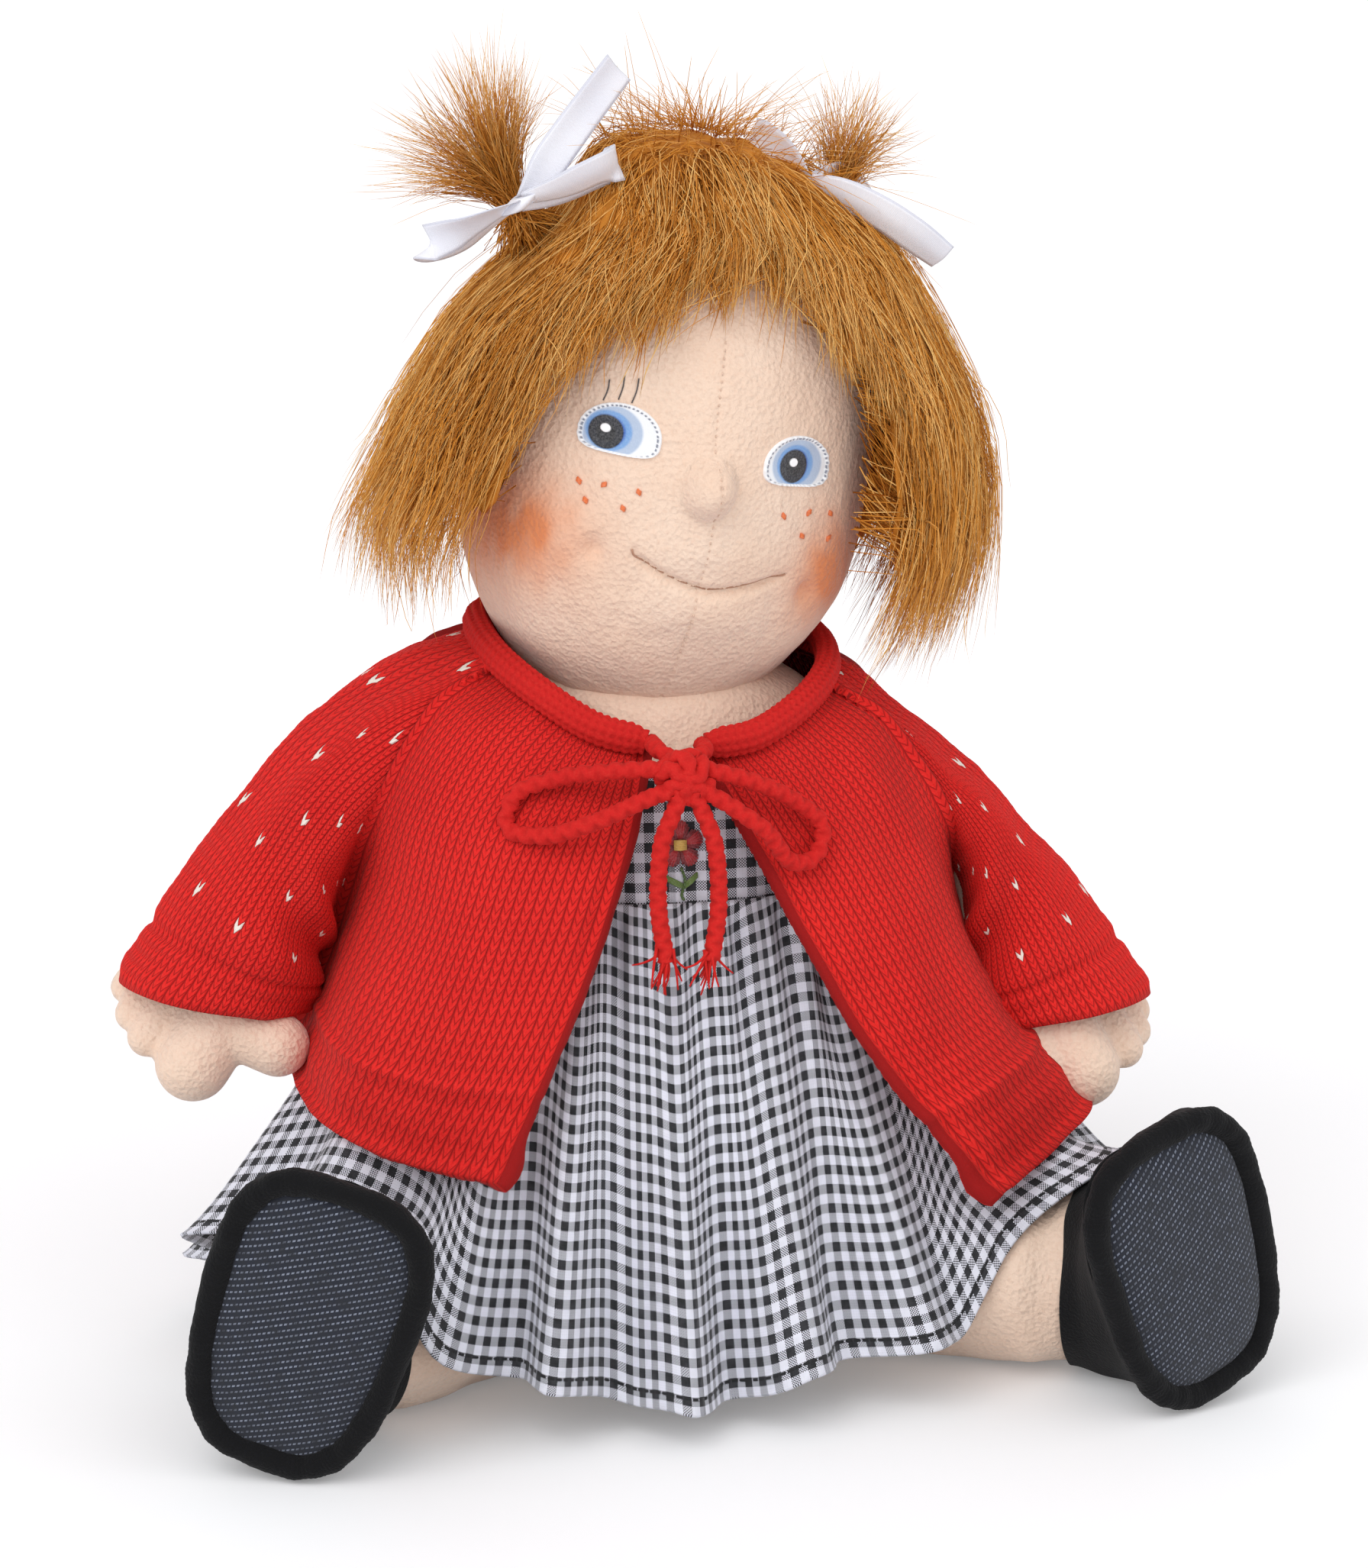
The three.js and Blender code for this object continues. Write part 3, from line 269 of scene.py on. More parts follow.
def capped(rings, start=0, wrap_rows=False):
    """Points and faces of a skin over rings of points, with a fan over each end."""
    rows, columns = rings.shape[:2]
    points = rings.reshape(-1, 3)
    if wrap_rows:
        faces = quads(rows + 1, columns, True) % (rows * columns)
        return points, [start + faces]
    ends = np.stack([rings[0].mean(0), rings[-1].mean(0)])
    j = np.arange(columns)
    k = (j + 1) % columns
    first = np.stack([k, j, np.full(columns, rows * columns)], 1)
    final = np.stack([j, k, np.full(columns, rows * columns + 1)], 1)
    final[:, :2] += (rows - 1) * columns
    return np.concatenate([points, ends]), [start + quads(rows, columns, True), start + first, start + final]


def rings_along(path, radius, sides, closed=False, flat=1.0, up=(0, 0, 1)):
    """Rings of points round a path; flat squeezes them along the up direction."""
    path = np.asarray(path, float)
    if closed:
        along = unit(np.roll(path, -1, 0) - np.roll(path, 1, 0))
    else:
        along = unit(np.gradient(path, axis=0))
    side = np.zeros_like(path)
    last = np.cross(along[0], up)
    last = unit(last) if np.linalg.norm(last) > 0.1 else np.array([1.0, 0, 0])
    for i, t in enumerate(along):
        last = unit(last - t * np.dot(last, t))
        side[i] = last
    other = np.cross(along, side)
    angle = circle(sides)
    if np.ndim(radius) == 1:
        radius = np.asarray(radius, float)[:, None]
    radius = np.broadcast_to(radius, (len(path), sides))
    c, s = (f(angle)[None, :, None] for f in (np.cos, np.sin))
    ring = side[:, None] * c + flat * other[:, None] * s
    return path[:, None] - ring * radius[..., None]


def joined(ring_sets, wrap_rows=False):
    """Points and faces of several skins over rings together."""
    points, faces, count = [], [], 0
    for rings in ring_sets:
        p, f = capped(rings, count, wrap_rows)
        points.append(p)
        faces += f
        count += len(p)
    return np.concatenate(points), faces


def tubes(paths, radii, sides=5):
    """Points and faces of several capped tubes together."""
    return joined([rings_along(path, radius, sides) for path, radius in zip(paths, radii)])


def shaped(name, source, modifiers, material, body):
    """A new object from a mesh after modifiers, each a kind with its settings."""
    work = bpy.data.objects.new(name, source)
    scene.collection.objects.link(work)
    for kind, settings in modifiers:
        modifier = work.modifiers.new(kind, kind)
        for key, value in settings.items():
            setattr(modifier, key, value)
    depsgraph = bpy.context.evaluated_depsgraph_get()
    mesh = bpy.data.meshes.new_from_object(work.evaluated_get(depsgraph))
    work.modifiers.clear()
    work.data = mesh
    mesh.materials.clear()
    mesh.materials.append(material)
    mesh.shade_smooth()
    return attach(work, body)


# Materials


def srgb(*values):
    """A colour as it looks on a screen, 0 to 255, as the light it stands for."""
    v = np.array(values, float) / 255
    return tuple(np.where(v <= 0.04045, v / 12.92, ((v + 0.055) / 1.055) ** 2.4)) + (1.0,)


class Graph:
    """A material's nodes, added one call at a time."""

    def __init__(self, name, **sockets):
        self.material = bpy.data.materials.new(name)
        self.material.use_nodes = True
        self.tree = self.material.node_tree
        self.shader = self.tree.nodes["Principled BSDF"]
        for key, value in sockets.items():
            self.shader.inputs[key.replace("_", " ")].default_value = value

    def add(self, kind, inputs=(), out=0, **settings):
        node = self.tree.nodes.new("ShaderNode" + kind)
        for key, value in settings.items():
            setattr(node, key, value)
        for key, value in dict(inputs).items():
            self.set(node.inputs[key], value)
        return node.outputs[out]

    def set(self, socket, value):
        if isinstance(value, bpy.types.NodeSocket):
            self.tree.links.new(value, socket)
        else:
            socket.default_value = value

    def math(self, operation, *values):
        return self.add("Math", enumerate(values), operation=operation)

    def mix(self, factor, a, b):
        return self.add("Mix", {0: factor, 6: a, 7: b}, out=2, data_type="RGBA")

    def noise(self, scale, detail=2.0, vector=None):
        vector = self.place() if vector is None else vector
        return self.add("TexNoise", {"Scale": scale, "Detail": detail, "Vector": vector})

    def place(self, scale=None):
        vector = self.add("TexCoord", out=3)
        return self.add("Mapping", {"Vector": vector, "Scale": scale}) if scale else vector

    def value(self, name):
        return self.add("Attribute", out=2, attribute_name=name)

    def colour(self, name):
        return self.add("Attribute", out=0, attribute_name=name)

    def uv(self):
        axes = self.add("SeparateXYZ", {0: self.add("TexCoord", out=2)})
        return axes, axes.node.outputs[1]

    def spread(self, value, low, high, a=0.0, b=1.0):
        return self.add("MapRange", {0: value, 1: low, 2: high, 3: a, 4: b})

    def finish(self, colour, rough, bump):
        """The material, given its colour, roughness's spread, and bump's height, depth and strength."""
        height, distance, strength = bump
        normal = self.add("Bump", {"Height": height, "Distance": distance, "Strength": strength})
        self.set(self.shader.inputs["Normal"], normal)
        self.set(self.shader.inputs["Roughness"], self.spread(*rough))
        self.set(self.shader.inputs["Base Color"], colour)
        return self.material


SKIN = srgb(240, 213, 192)
SKIN_SHADE = srgb(231, 196, 172)
BLUSH = srgb(226, 130, 70)
RED = srgb(226, 36, 32)
# The red knit's painted shade, laid into its hollows and the gaps between its stitches
RED_SHADE = srgb(126, 8, 10)
WHITE_YARN = srgb(236, 226, 216)
GINGHAM_LIGHT, GINGHAM_DARK = srgb(222, 223, 234), srgb(16, 17, 21)
# The repeat of the checks and the width of a thread
CHECK, THREAD = 5.2, 0.36
# A stitch is a V: each leg rises from the gap between columns, dips at the V's middle and laps the next row
LEG_RISE, LEG_TOP, LEG_DIP = 4.0, 1.45, 1.8
ROW_RISE, ROW_FLOOR = 3.0, 0.15
STITCH_SLANT, FLECK_STEP = 2.0, 8.0
THREAD_SIDES = 6


def fleece_material():
    g = Graph("skin_fleece", Sheen_Weight=0.35, Sheen_Roughness=0.5)
    nap = g.noise(900.0, 3.0)
    pile = g.add("TexVoronoi", {"Vector": g.place(), "Scale": 620.0, "Randomness": 1.0})
    cloud = g.noise(45.0, 2.0)
    base = g.mix(g.spread(cloud, 0.35, 0.7), SKIN, srgb(236, 205, 182))
    base = g.mix(g.math("MULTIPLY", g.spread(nap, 0.5, 0.75), 0.55), base, SKIN_SHADE)
    base = g.mix(g.value("blush"), base, BLUSH)
    height = g.math("ADD", g.math("MULTIPLY", nap, 0.8), g.math("MULTIPLY", pile, 0.7))
    return g.finish(base, rough=(nap, 0.3, 0.7, 0.85, 1.0), bump=(height, 0.0009, 0.7))


def fur_material(name, dark, middle, light):
    g = Graph(name, Specular_IOR_Level=0.06)
    ramp = g.tree.nodes.new("ShaderNodeValToRGB")
    stops = ramp.color_ramp.elements
    stops[0].color = dark
    stops[-1].color = light
    stops.new(0.5).color = middle
    # The tone: random from strand to strand, with painted shade that darkens the roots and the strands lying
    # deeper in the wig
    g.set(ramp.inputs[0], g.value("tone"))
    streak = g.noise(260.0, 3.0, g.place((1.0, 1.0, 0.12)))
    colour = g.mix(g.spread(streak, 0.35, 0.8, 0.0, 0.3), ramp.outputs[0], dark)
    return g.finish(colour, rough=(streak, 0.2, 0.8, 0.45, 0.68), bump=(streak, 0.001, 0.5))


def knit_material():
    """Yarn in V-shaped stitches, one to each whole step of the cloth's two directions, some of them white,
    with painted shade in the hollows and gaps between the stitches.
    """
    g = Graph("red_knit", Sheen_Weight=0.12, Sheen_Roughness=0.4, Sheen_Tint=(0.9, 0.2, 0.16, 1),
              Specular_IOR_Level=0.25)
    u, v = g.uv()
    inside = g.math("PINGPONG", u, 0.5)
    slanted = g.math("MULTIPLY_ADD", inside, -STITCH_SLANT, v)
    rise = g.math("MULTIPLY", inside, LEG_RISE)
    across = g.math("MINIMUM", rise, g.math("MULTIPLY_ADD", inside, -LEG_DIP, LEG_TOP))
    along = g.math("MULTIPLY_ADD", g.math("PINGPONG", slanted, 0.5), ROW_RISE, ROW_FLOOR)
    leg = g.math("MINIMUM", across, along)
    fibre = g.noise(1500.0, 3.0)
    cloud = g.noise(40.0, 1.0)
    yarn = g.mix(g.spread(cloud, 0.3, 0.75, 0.0, 0.35), RED, srgb(196, 20, 22))
    yarn = g.mix(g.spread(fibre, 0.45, 0.8, 0.0, 0.5), yarn, srgb(236, 70, 60))
    # Painted shade: darker red where the yarn lies in a hollow
    yarn = g.mix(g.spread(g.value("hollow"), 0.25, 1.0, 0.0, 0.2), yarn, RED_SHADE)
    # Painted shade: darker red in the gaps between the stitches' legs
    yarn = g.mix(g.spread(leg, 0.05, 0.6, 0.75, 0.0), yarn, RED_SHADE)
    stitch_row = g.math("FLOOR", slanted)
    fleck_row = g.math("FLOOR", g.math("DIVIDE", stitch_row, FLECK_STEP))
    shift = g.math("MULTIPLY", fleck_row, FLECK_STEP / 2)
    column = g.math("ADD", g.math("FLOOR", u), shift)
    white = g.math("MULTIPLY", g.value("fleck"), g.math("GREATER_THAN", leg, 0.22))
    for place in (stitch_row, column):
        place = g.math("FLOORED_MODULO", place, FLECK_STEP)
        white = g.math("MULTIPLY", white, g.math("COMPARE", place, 2.0, 0.5))
    yarn = g.mix(white, yarn, WHITE_YARN)
    height = g.math("ADD", g.spread(leg, 0.0, 0.7), g.math("MULTIPLY", fibre, 0.5))
    return g.finish(yarn, rough=(fibre, 0.3, 0.7, 0.8, 0.98), bump=(height, 0.0006, 0.6))


def gingham_material():
    """Woven checks: warp and weft in stripes, each seen at every other crossing, and a stitched hem."""
    g = Graph("gingham", Sheen_Weight=0.1)
    u, v = g.uv()
    stripe = lambda axis: g.math("GREATER_THAN", g.math("FRACT", g.math("DIVIDE", axis, CHECK)), 0.5)
    count = lambda axis: g.math("FLOOR", g.math("DIVIDE", axis, THREAD))
    weave = g.math("PINGPONG", g.math("ADD", count(u), count(v)), 1.0)
    warp = g.mix(stripe(u), GINGHAM_LIGHT, GINGHAM_DARK)
    weft = g.mix(stripe(v), GINGHAM_LIGHT, GINGHAM_DARK)
    colour = g.mix(weave, warp, weft)
    colour = g.mix(g.spread(g.noise(380.0, 3.0), 0.35, 0.8, 0.0, 0.16), colour, srgb(120, 120, 130))
    hem = g.math("LESS_THAN", g.math("ABSOLUTE", g.math("SUBTRACT", v, 4.5)), 0.45)
    dash = g.math("LESS_THAN", g.math("FRACT", g.math("DIVIDE", u, 2.4)), 0.78)
    colour = g.mix(g.math("MULTIPLY", hem, dash), colour, srgb(16, 16, 20))
    threads = g.math("ADD", g.math("PINGPONG", u, THREAD), g.math("PINGPONG", v, THREAD))
    return g.finish(colour, rough=(threads, 0.0, 0.7, 0.92, 0.78), bump=(threads, 0.0003, 0.35))


def cotton_material():
    g = Graph("white_cotton", Sheen_Weight=0.1)
    weave = g.noise(1400.0, 2.0)
    colour = g.mix(g.spread(g.noise(60.0), 0.3, 0.8), srgb(240, 239, 238), srgb(222, 221, 224))
    return g.finish(colour, rough=(weave, 0.3, 0.7, 0.8, 0.95), bump=(weave, 0.0003, 0.4))


def satin_material():
    g = Graph("ribbon_satin", Sheen_Weight=0.3, Coat_Weight=0.15, Coat_Roughness=0.3, Anisotropic=0.5)
    u, v = g.uv()
    rib = g.math("SINE", g.math("MULTIPLY", u, 14.0))
    line = g.noise(30.0, 2.0)
    edge = g.math("GREATER_THAN", g.math("ABSOLUTE", v), 0.88)
    colour = g.mix(g.spread(line, 0.3, 0.8), srgb(246, 246, 252), srgb(226, 227, 240))
    colour = g.mix(g.math("MULTIPLY", edge, 0.6), colour, srgb(208, 209, 224))
    return g.finish(colour, rough=(line, 0.3, 0.7, 0.3, 0.48), bump=(rib, 0.0001, 0.25))


def thread_material(name, roughness):
    g = Graph(name, Sheen_Weight=0.2)
    fibre = g.noise(2200.0, 2.0)
    colour = g.mix(g.spread(fibre, 0.4, 0.8, 0.0, 0.1), g.colour("paint"), srgb(250, 250, 252))
    return g.finish(colour, rough=(fibre, 0.3, 0.7, roughness, roughness + 0.2), bump=(fibre, 0.0002, 0.4))


def felt_material():
    g = Graph("black_felt", Sheen_Weight=0.04, Sheen_Roughness=0.6, Specular_IOR_Level=0.2)
    fuzz = g.noise(1300.0, 4.0)
    cloud = g.noise(70.0, 2.0)
    colour = g.mix(g.spread(fuzz, 0.45, 0.75, 0.0, 0.7), srgb(7, 7, 9), srgb(22, 22, 26))
    colour = g.mix(g.spread(cloud, 0.4, 0.8, 0.0, 0.4), colour, srgb(8, 8, 10))
    return g.finish(colour, rough=(fuzz, 0.3, 0.7, 0.85, 1.0), bump=(fuzz, 0.0007, 0.7))


def denim_material():
    g = Graph("denim", Sheen_Weight=0.15)
    u, v = g.uv()
    twill = g.math("FRACT", g.math("SUBTRACT", g.math("DIVIDE", v, 1.9), g.math("DIVIDE", u, 3.4)))
    across = g.math("FRACT", g.math("DIVIDE", u, 1.15))
    slub = g.noise(500.0, 3.0)
    dot = g.math("MULTIPLY", g.math("LESS_THAN", twill, 0.3), g.math("LESS_THAN", across, 0.6))
    dot = g.math("MULTIPLY", dot, g.spread(slub, 0.32, 0.62, 0.1, 1.0))
    colour = g.mix(g.spread(slub, 0.3, 0.8), srgb(16, 20, 31), srgb(28, 33, 47))
    colour = g.mix(g.math("MULTIPLY", dot, 0.75), colour, srgb(140, 147, 164))
    return g.finish(colour, rough=(slub, 0.3, 0.7, 0.8, 0.95), bump=(twill, 0.0003, 0.5))


def sewn(name, threads, material, body, place=np.asarray):
    """Short threads as one piece, each given by a path, the radii along it and a colour."""
    paths, radii, colours = zip(*threads)
    points, faces = tubes(paths, radii, THREAD_SIDES)
    counts = [len(path) * THREAD_SIDES + 2 for path in paths]
    paint = np.concatenate([np.tile(colour[:3], (count, 1)) for colour, count in zip(colours, counts)])
    return make(name, place(points), faces, material, body, paint=paint)


def yarn_piece(name, points, faces, hollow):
    """Yarn on the torso that isn't in stitches: all of it lies on the side of one, with painted shade where
    it lies in a hollow.
    """
    uv = np.tile([0.1, 0.5 + STITCH_SLANT * 0.1], (len(points), 1))
    piece = make(name, points, faces, KNIT, "torso", uv, hollow=hollow, fleck=np.zeros(len(points)))
    return piece


FLEECE = fleece_material()
FUR = fur_material("wig_fur", srgb(150, 84, 24), srgb(222, 148, 60), srgb(252, 206, 130))
KNIT = knit_material()
GINGHAM = gingham_material()
COTTON = cotton_material()
SATIN = satin_material()
EYE_THREAD = thread_material("eye_embroidery", 0.35)
FLOWER_THREAD = thread_material("flower_embroidery", 0.45)
FELT = felt_material()
DENIM = denim_material()


# Camera, floor and light

AZIMUTH, ELEVATION, DISTANCE = math.radians(-8), math.radians(15), 1500.0
PIXELS_PER_MM = 4.65
PHOTO_WIDTH, PHOTO_HEIGHT = 1792, 2054
FEET_PIXEL = (855, 1718)
SENSOR = 36.0
WORLD_LIGHT, FLOOR_GLOW, FLOOR_REACH = 0.7, 0.16, 6000.0
# Each lamp: its name, tilt and turn in degrees, strength, and the width of its light in degrees
LAMPS = (("key", 48, -38, 1.2, 50), ("fill", 62, 42, 0.5, 70))


def place_camera():
    level = math.cos(ELEVATION)
    back = np.array([math.sin(AZIMUTH) * level, -math.cos(AZIMUTH) * level, math.sin(ELEVATION)])
    right = np.array([math.cos(AZIMUTH), math.sin(AZIMUTH), 0])
    up = np.cross(back, right)
    middle = right * (PHOTO_WIDTH / 2 - FEET_PIXEL[0]) + up * (FEET_PIXEL[1] - PHOTO_HEIGHT / 2)
    data = bpy.data.cameras.new("camera")
    data.sensor_fit = "VERTICAL"
    data.sensor_height = SENSOR
    data.lens = SENSOR * PIXELS_PER_MM * DISTANCE / PHOTO_HEIGHT
    data.clip_start = 0.05
    camera = bpy.data.objects.new("camera", data)
    scene.collection.objects.link(camera)
    camera.location = row(middle / PIXELS_PER_MM + back * DISTANCE)
    camera.rotation_euler = (math.pi / 2 - ELEVATION, 0, AZIMUTH)
    scene.camera = camera


def seen_directly(tree):
    """A socket that is 1 where a backdrop is seen by the camera, in a gloss or through something clear."""
    path = tree.nodes.new("ShaderNodeLightPath")
    total = path.outputs["Is Camera Ray"]
    for name in ("Is Glossy Ray", "Is Transmission Ray"):
        most = tree.nodes.new("ShaderNodeMath")
        most.operation = "MAXIMUM"
        tree.links.new(total, most.inputs[0])
        tree.links.new(path.outputs[name], most.inputs[1])
        total = most.outputs[0]
    return total


def place_light():
    scene.view_settings.view_transform = "Standard"
    world = bpy.data.worlds.new("studio")
    scene.world = world
    world.use_nodes = True
    background = world.node_tree.nodes["Background"]
    background.inputs["Color"].default_value = (1.0, 1.0, 1.0, 1.0)
    nodes, links = world.node_tree.nodes, world.node_tree.links
    seen = nodes.new("ShaderNodeMapRange")
    links.new(seen_directly(world.node_tree), seen.inputs[0])
    seen.inputs[3].default_value = WORLD_LIGHT
    links.new(seen.outputs[0], background.inputs["Strength"])
    for name, tilt, spin, strength, spread in LAMPS:
        data = bpy.data.lights.new(name, "SUN")
        data.energy = strength
        data.angle = math.radians(spread)
        lamp = bpy.data.objects.new(name, data)
        lamp.rotation_euler = (math.radians(tilt), 0, math.radians(spin))
        scene.collection.objects.link(lamp)


def lay_floor():
    g = Graph("floor", Roughness=0.9, Base_Color=(0.9, 0.9, 0.92, 1), Emission_Color=(1, 1, 1, 1))
    g.set(g.shader.inputs["Emission Strength"], g.math("MULTIPLY", seen_directly(g.tree), FLOOR_GLOW))
    corners = FLOOR_REACH * np.array([[-1, -1, 0], [1, -1, 0], [1, 1, 0], [-1, 1, 0]])
    make("floor", corners, [np.array([[0, 1, 2, 3]])], g.material)


place_camera()
place_light()
lay_floor()


# Tie cord: each half runs from a corner of the collar through the knot, round its loop and down its tail

CORD, CORD_LINK = 4.6, 4.4
FRAY_ENDS, FRAY_LENGTH = 16, 9
TIE_KNOT = np.array([0, -65.9, 173.2])
TIE_LOOPS = {
    "left": [(18.0, -64.9, 171.0), (29.0, -62.0, 165.0), (37.0, -60.6, 157.5), (35.0, -63.0, 149.5),
             (27.5, -67.4, 149.8), (19.5, -70.2, 160.0)],
    "right": [(-19.5, -63.3, 174.7), (-31.7, -58.1, 172.2), (-43.1, -55.5, 167.6), (-45.8, -56.9, 158.6),
              (-36.2, -63.8, 158.1), (-24.0, -69.2, 162.9)],
}
TAIL_DROP = 48.0
# Wraps of the knot: tilt in degrees, half width and height
KNOT_WRAPS = ((8, 6.2, 4.2), (62, 5.6, 4.6), (-58, 5.6, 4.6))


def chain_rings(path, diameter, twist):
    """Rings of a crocheted chain: rounded links, two to a stitch, that lean to one side and the other, and
    painted shade at each point, more where a link narrows.
    """
    run = run_along(path)
    angle = circle(12)
    phase = run[:, None] * 2 * math.pi / CORD_LINK + twist
    link = np.maximum(np.sin(phase + 2 * angle[None, :]), np.sin(phase - 2 * angle[None, :] + math.pi))
    radius = diameter / 2 * (0.86 + 0.2 * link)
    return rings_along(path, radius, 12), 1 - (radius / diameter * 2 - 0.7) / 0.36


def tie_half(name, side):
    corner = np.array([side * 6.8, -48.6, 177.8 - 0.6 * side])
    high = TIE_KNOT + np.array([side * 3.2, 0.5, 3.0])
    low = TIE_KNOT + np.array([side * 3.0, -2.4, -3.2])
    tail = [TIE_KNOT + np.array([side * x, -y, -drop * TAIL_DROP])
            for x, y, drop in ((7, 5, 0.35), (8, 6, 0.68), (6, 7, 1.0))]
    lead = lerp(corner, high, 0.5) + np.array([side * 1.2, -1.0, 1.5])
    path = route([corner, lead, high, *TIE_LOOPS[name], low, *tail], 420)
    rings, hollow = chain_rings(path, CORD, side)
    points, faces = capped(rings)
    # Painted shade along the cord, middling at its two end caps
    hollow = np.append(hollow.ravel(), [0.5, 0.5])
    piece = yarn_piece("tie_cord_" + name, points, faces, hollow)
    fray = []
    for _ in range(FRAY_ENDS):
        spray = unit(np.array([rng.normal() * 0.45, -0.1 + rng.normal() * 0.25, -1.0]))
        start = path[-1] + 0.8 * rng.normal(size=3) + np.array([0, 0, 3.0])
        bend = rng.normal(size=3) * 1.6
        fray.append(np.stack([start + spray * s * FRAY_LENGTH + bend * s * s for s in np.linspace(0, 1, 7)]))
    points, faces = tubes(fray, [np.linspace(0.5, 0.22, 7)] * FRAY_ENDS)
    frayed = yarn_piece("tie_fray_" + name, points, faces, np.full(len(points), 0.2))
    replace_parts(piece, *("tie_%s_%s" % (part, name) for part in ("lead", "loop", "tail")))
    row(corner)
    row(path[::6])


def tie_knot():
    """The knot: three wraps of the cord over each other."""
    angle = circle(60)
    wraps, hollow = [], []
    for i, (tilt, wide, tall) in enumerate(KNOT_WRAPS):
        loop = np.stack([wide * np.cos(angle), 3.4 * np.sin(angle), 0.5 * tall * np.sin(2 * angle)], 1)
        rings, dip = chain_rings(TIE_KNOT + loop @ turn("y", tilt).T, CORD, i)
        wraps.append(rings)
        hollow.append(dip.ravel())
    points, faces = joined(wraps, wrap_rows=True)
    knot = yarn_piece("tie_knot_wraps", points, faces, np.concatenate(hollow))
    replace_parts(knot, "tie_knot")


for side_name, side_sign in SIDES.items():
    tie_half(side_name, side_sign)
tie_knot()


# Head

HEAD_TURN = turn("z", 5) @ turn("y", 10) @ turn("x", -1)
HEAD_AT = np.array([-6.0, 0, NECK_TOP])
HEAD_HALF = np.array([54.0, 53.0, 72.0])
HEAD_MIDDLE = 68.0
CHIN_DROP = 5.5
SQUARENESS = 2.3
NOSE, NOSE_HALF, NOSE_OUT = (-1.2, 61.5), (7.4, 8.2), 7.6
MOUTH_DEPTH, SEAM_DEPTH, CREASE_DEPTH, DIMPLE_DEPTH, EYE_DEPTH = 2.6, 0.55, 0.4, 2.4, 0.8
MOUTH = [(-17.5, 42.5), (-16, 40.3), (-7.9, 36.4), (1.8, 33.9), (6.9, 33.8), (15.8, 35.8), (24.5, 39.2),
         (26, 40.2)]
SEAM = [(-2.2, 112), (-1.7, 77.2), (1.5, 54.3), (1.7, 34.3), (1.8, 16.1), (1.5, -1)]
CREASES = [[(-13.5, 36), (-16, 27), (-17, 19)], [(23.5, 36), (25, 24), (25.5, 10), (23.5, 3)]]
DIMPLES = [(-26.8, 40.5), (33.2, 35.0)]
# Each cheek's blush: its middle and its radii
CHEEKS = [(-44.0, 41.0, 13.5, 14.5), (40.0, 41.0, 10.5, 15.0)]
# Each eye: its middle seen from the front, and how far to the side it looks
EYE_PATCHES = {"right": (-25.3, 71.6, -3.4), "left": (23.2, 69.5, -1.4)}
EYE_WIDE, EYE_OVER, EYE_UNDER = 10.2, 8.4, 5.2
# Layers of the iris: colour, shift and radii of an oval, and the shares of it between which a layer fades in
IRIS = (
    (srgb(176, 192, 216), (1.2, 0.6), (7.4, 6.6), (1.08, 0.98)),
    (srgb(116, 160, 214), (0.6, 0.6), (7.0, 6.6), (0.86, 0.74)),
    (srgb(44, 92, 176), (0.3, 0.4), (6.6, 6.6), (0.72, 0.58)),
)


def from_head(points):
    """Points of the head's own frame in the doll's."""
    return HEAD_AT + np.asarray(points, float) @ HEAD_TURN.T


def near_line(x, z, line, width):
    """1 on a line drawn on the face, fading to 0 at its width."""
    fine = route(line, 60)
    gap = np.full(np.shape(x), 1e9)
    for px, pz in fine:
        gap = np.minimum(gap, (x - px) ** 2 + (z - pz) ** 2)
    return np.exp(-gap / width**2)


def face_depth(x, z):
    """How far forward the plain head lies at a place seen from the front."""
    tall = np.where(z < HEAD_MIDDLE, HEAD_HALF[2] + CHIN_DROP, HEAD_HALF[2])
    level = np.clip(np.abs((z - HEAD_MIDDLE) / tall), 0, 0.999)
    share = (1 - level**SQUARENESS) ** (1 / SQUARENESS)
    return -HEAD_HALF[1] * np.sqrt(np.clip(share**2 - (x / HEAD_HALF[0]) ** 2, 0, 1))


def face_relief(x, z):
    """Forward and outward moves of the stuffed face at a place seen from the front."""
    ball = 1 - ((x - NOSE[0]) / NOSE_HALF[0]) ** 2 - ((z - NOSE[1]) / NOSE_HALF[1]) ** 2
    nose = np.clip(ball, 0, 1) ** 0.62
    forward = NOSE_OUT * nose + 2.2 * hill(x, z, (NOSE[0], NOSE[1] - 1), (11, 11))
    mouth = near_line(x, z, MOUTH, 1.15)
    out = -MOUTH_DEPTH * mouth * smooth(-19, -13, x) * (1 - smooth(22, 28, x))
    out += 1.5 * hill(x, z, (4, 27), (17, 6)) + 1.3 * hill(x, z, (3, 44), (20, 6))
    out -= SEAM_DEPTH * near_line(x, z, SEAM, 0.7)
    for crease in CREASES:
        out -= CREASE_DEPTH * near_line(x, z, crease, 2.2)
    for dx, dz in DIMPLES:
        out -= DIMPLE_DEPTH * hill(x, z, (dx, dz), (2.6, 3.6))
        out += 1.3 * hill(x, z, (dx + math.copysign(7, dx), dz + 3), (7, 9))
    for ex, _, _ in EYE_PATCHES.values():
        out -= EYE_DEPTH * hill(x, z, (ex, 70), (11, 8))
    return forward, out


def plain_head(azimuth, polar, chin):
    """A place on the plain head: azimuth from the front towards the doll's left, and angle from the crown."""
    power = 2 / SQUARENESS
    wide = np.abs(np.sin(polar)) ** power
    level = np.sign(np.cos(polar)) * np.abs(np.cos(polar)) ** power
    tall = np.where(level < 0, HEAD_HALF[2] + chin, HEAD_HALF[2])
    x = wide * HEAD_HALF[0] * np.sin(azimuth)
    y = -wide * HEAD_HALF[1] * np.cos(azimuth)
    return stacked(x, y, HEAD_MIDDLE + tall * level)


def head_grid():
    """Rings of the head from the crown down, closer together over the face."""
    polar = np.linspace(0.02, math.pi - 0.02, 230)[:, None]
    place = np.linspace(-1, 1, 400, endpoint=False)[None, :]
    return plain_head(math.pi * (0.62 * place + 0.38 * place**3), polar, CHIN_DROP)


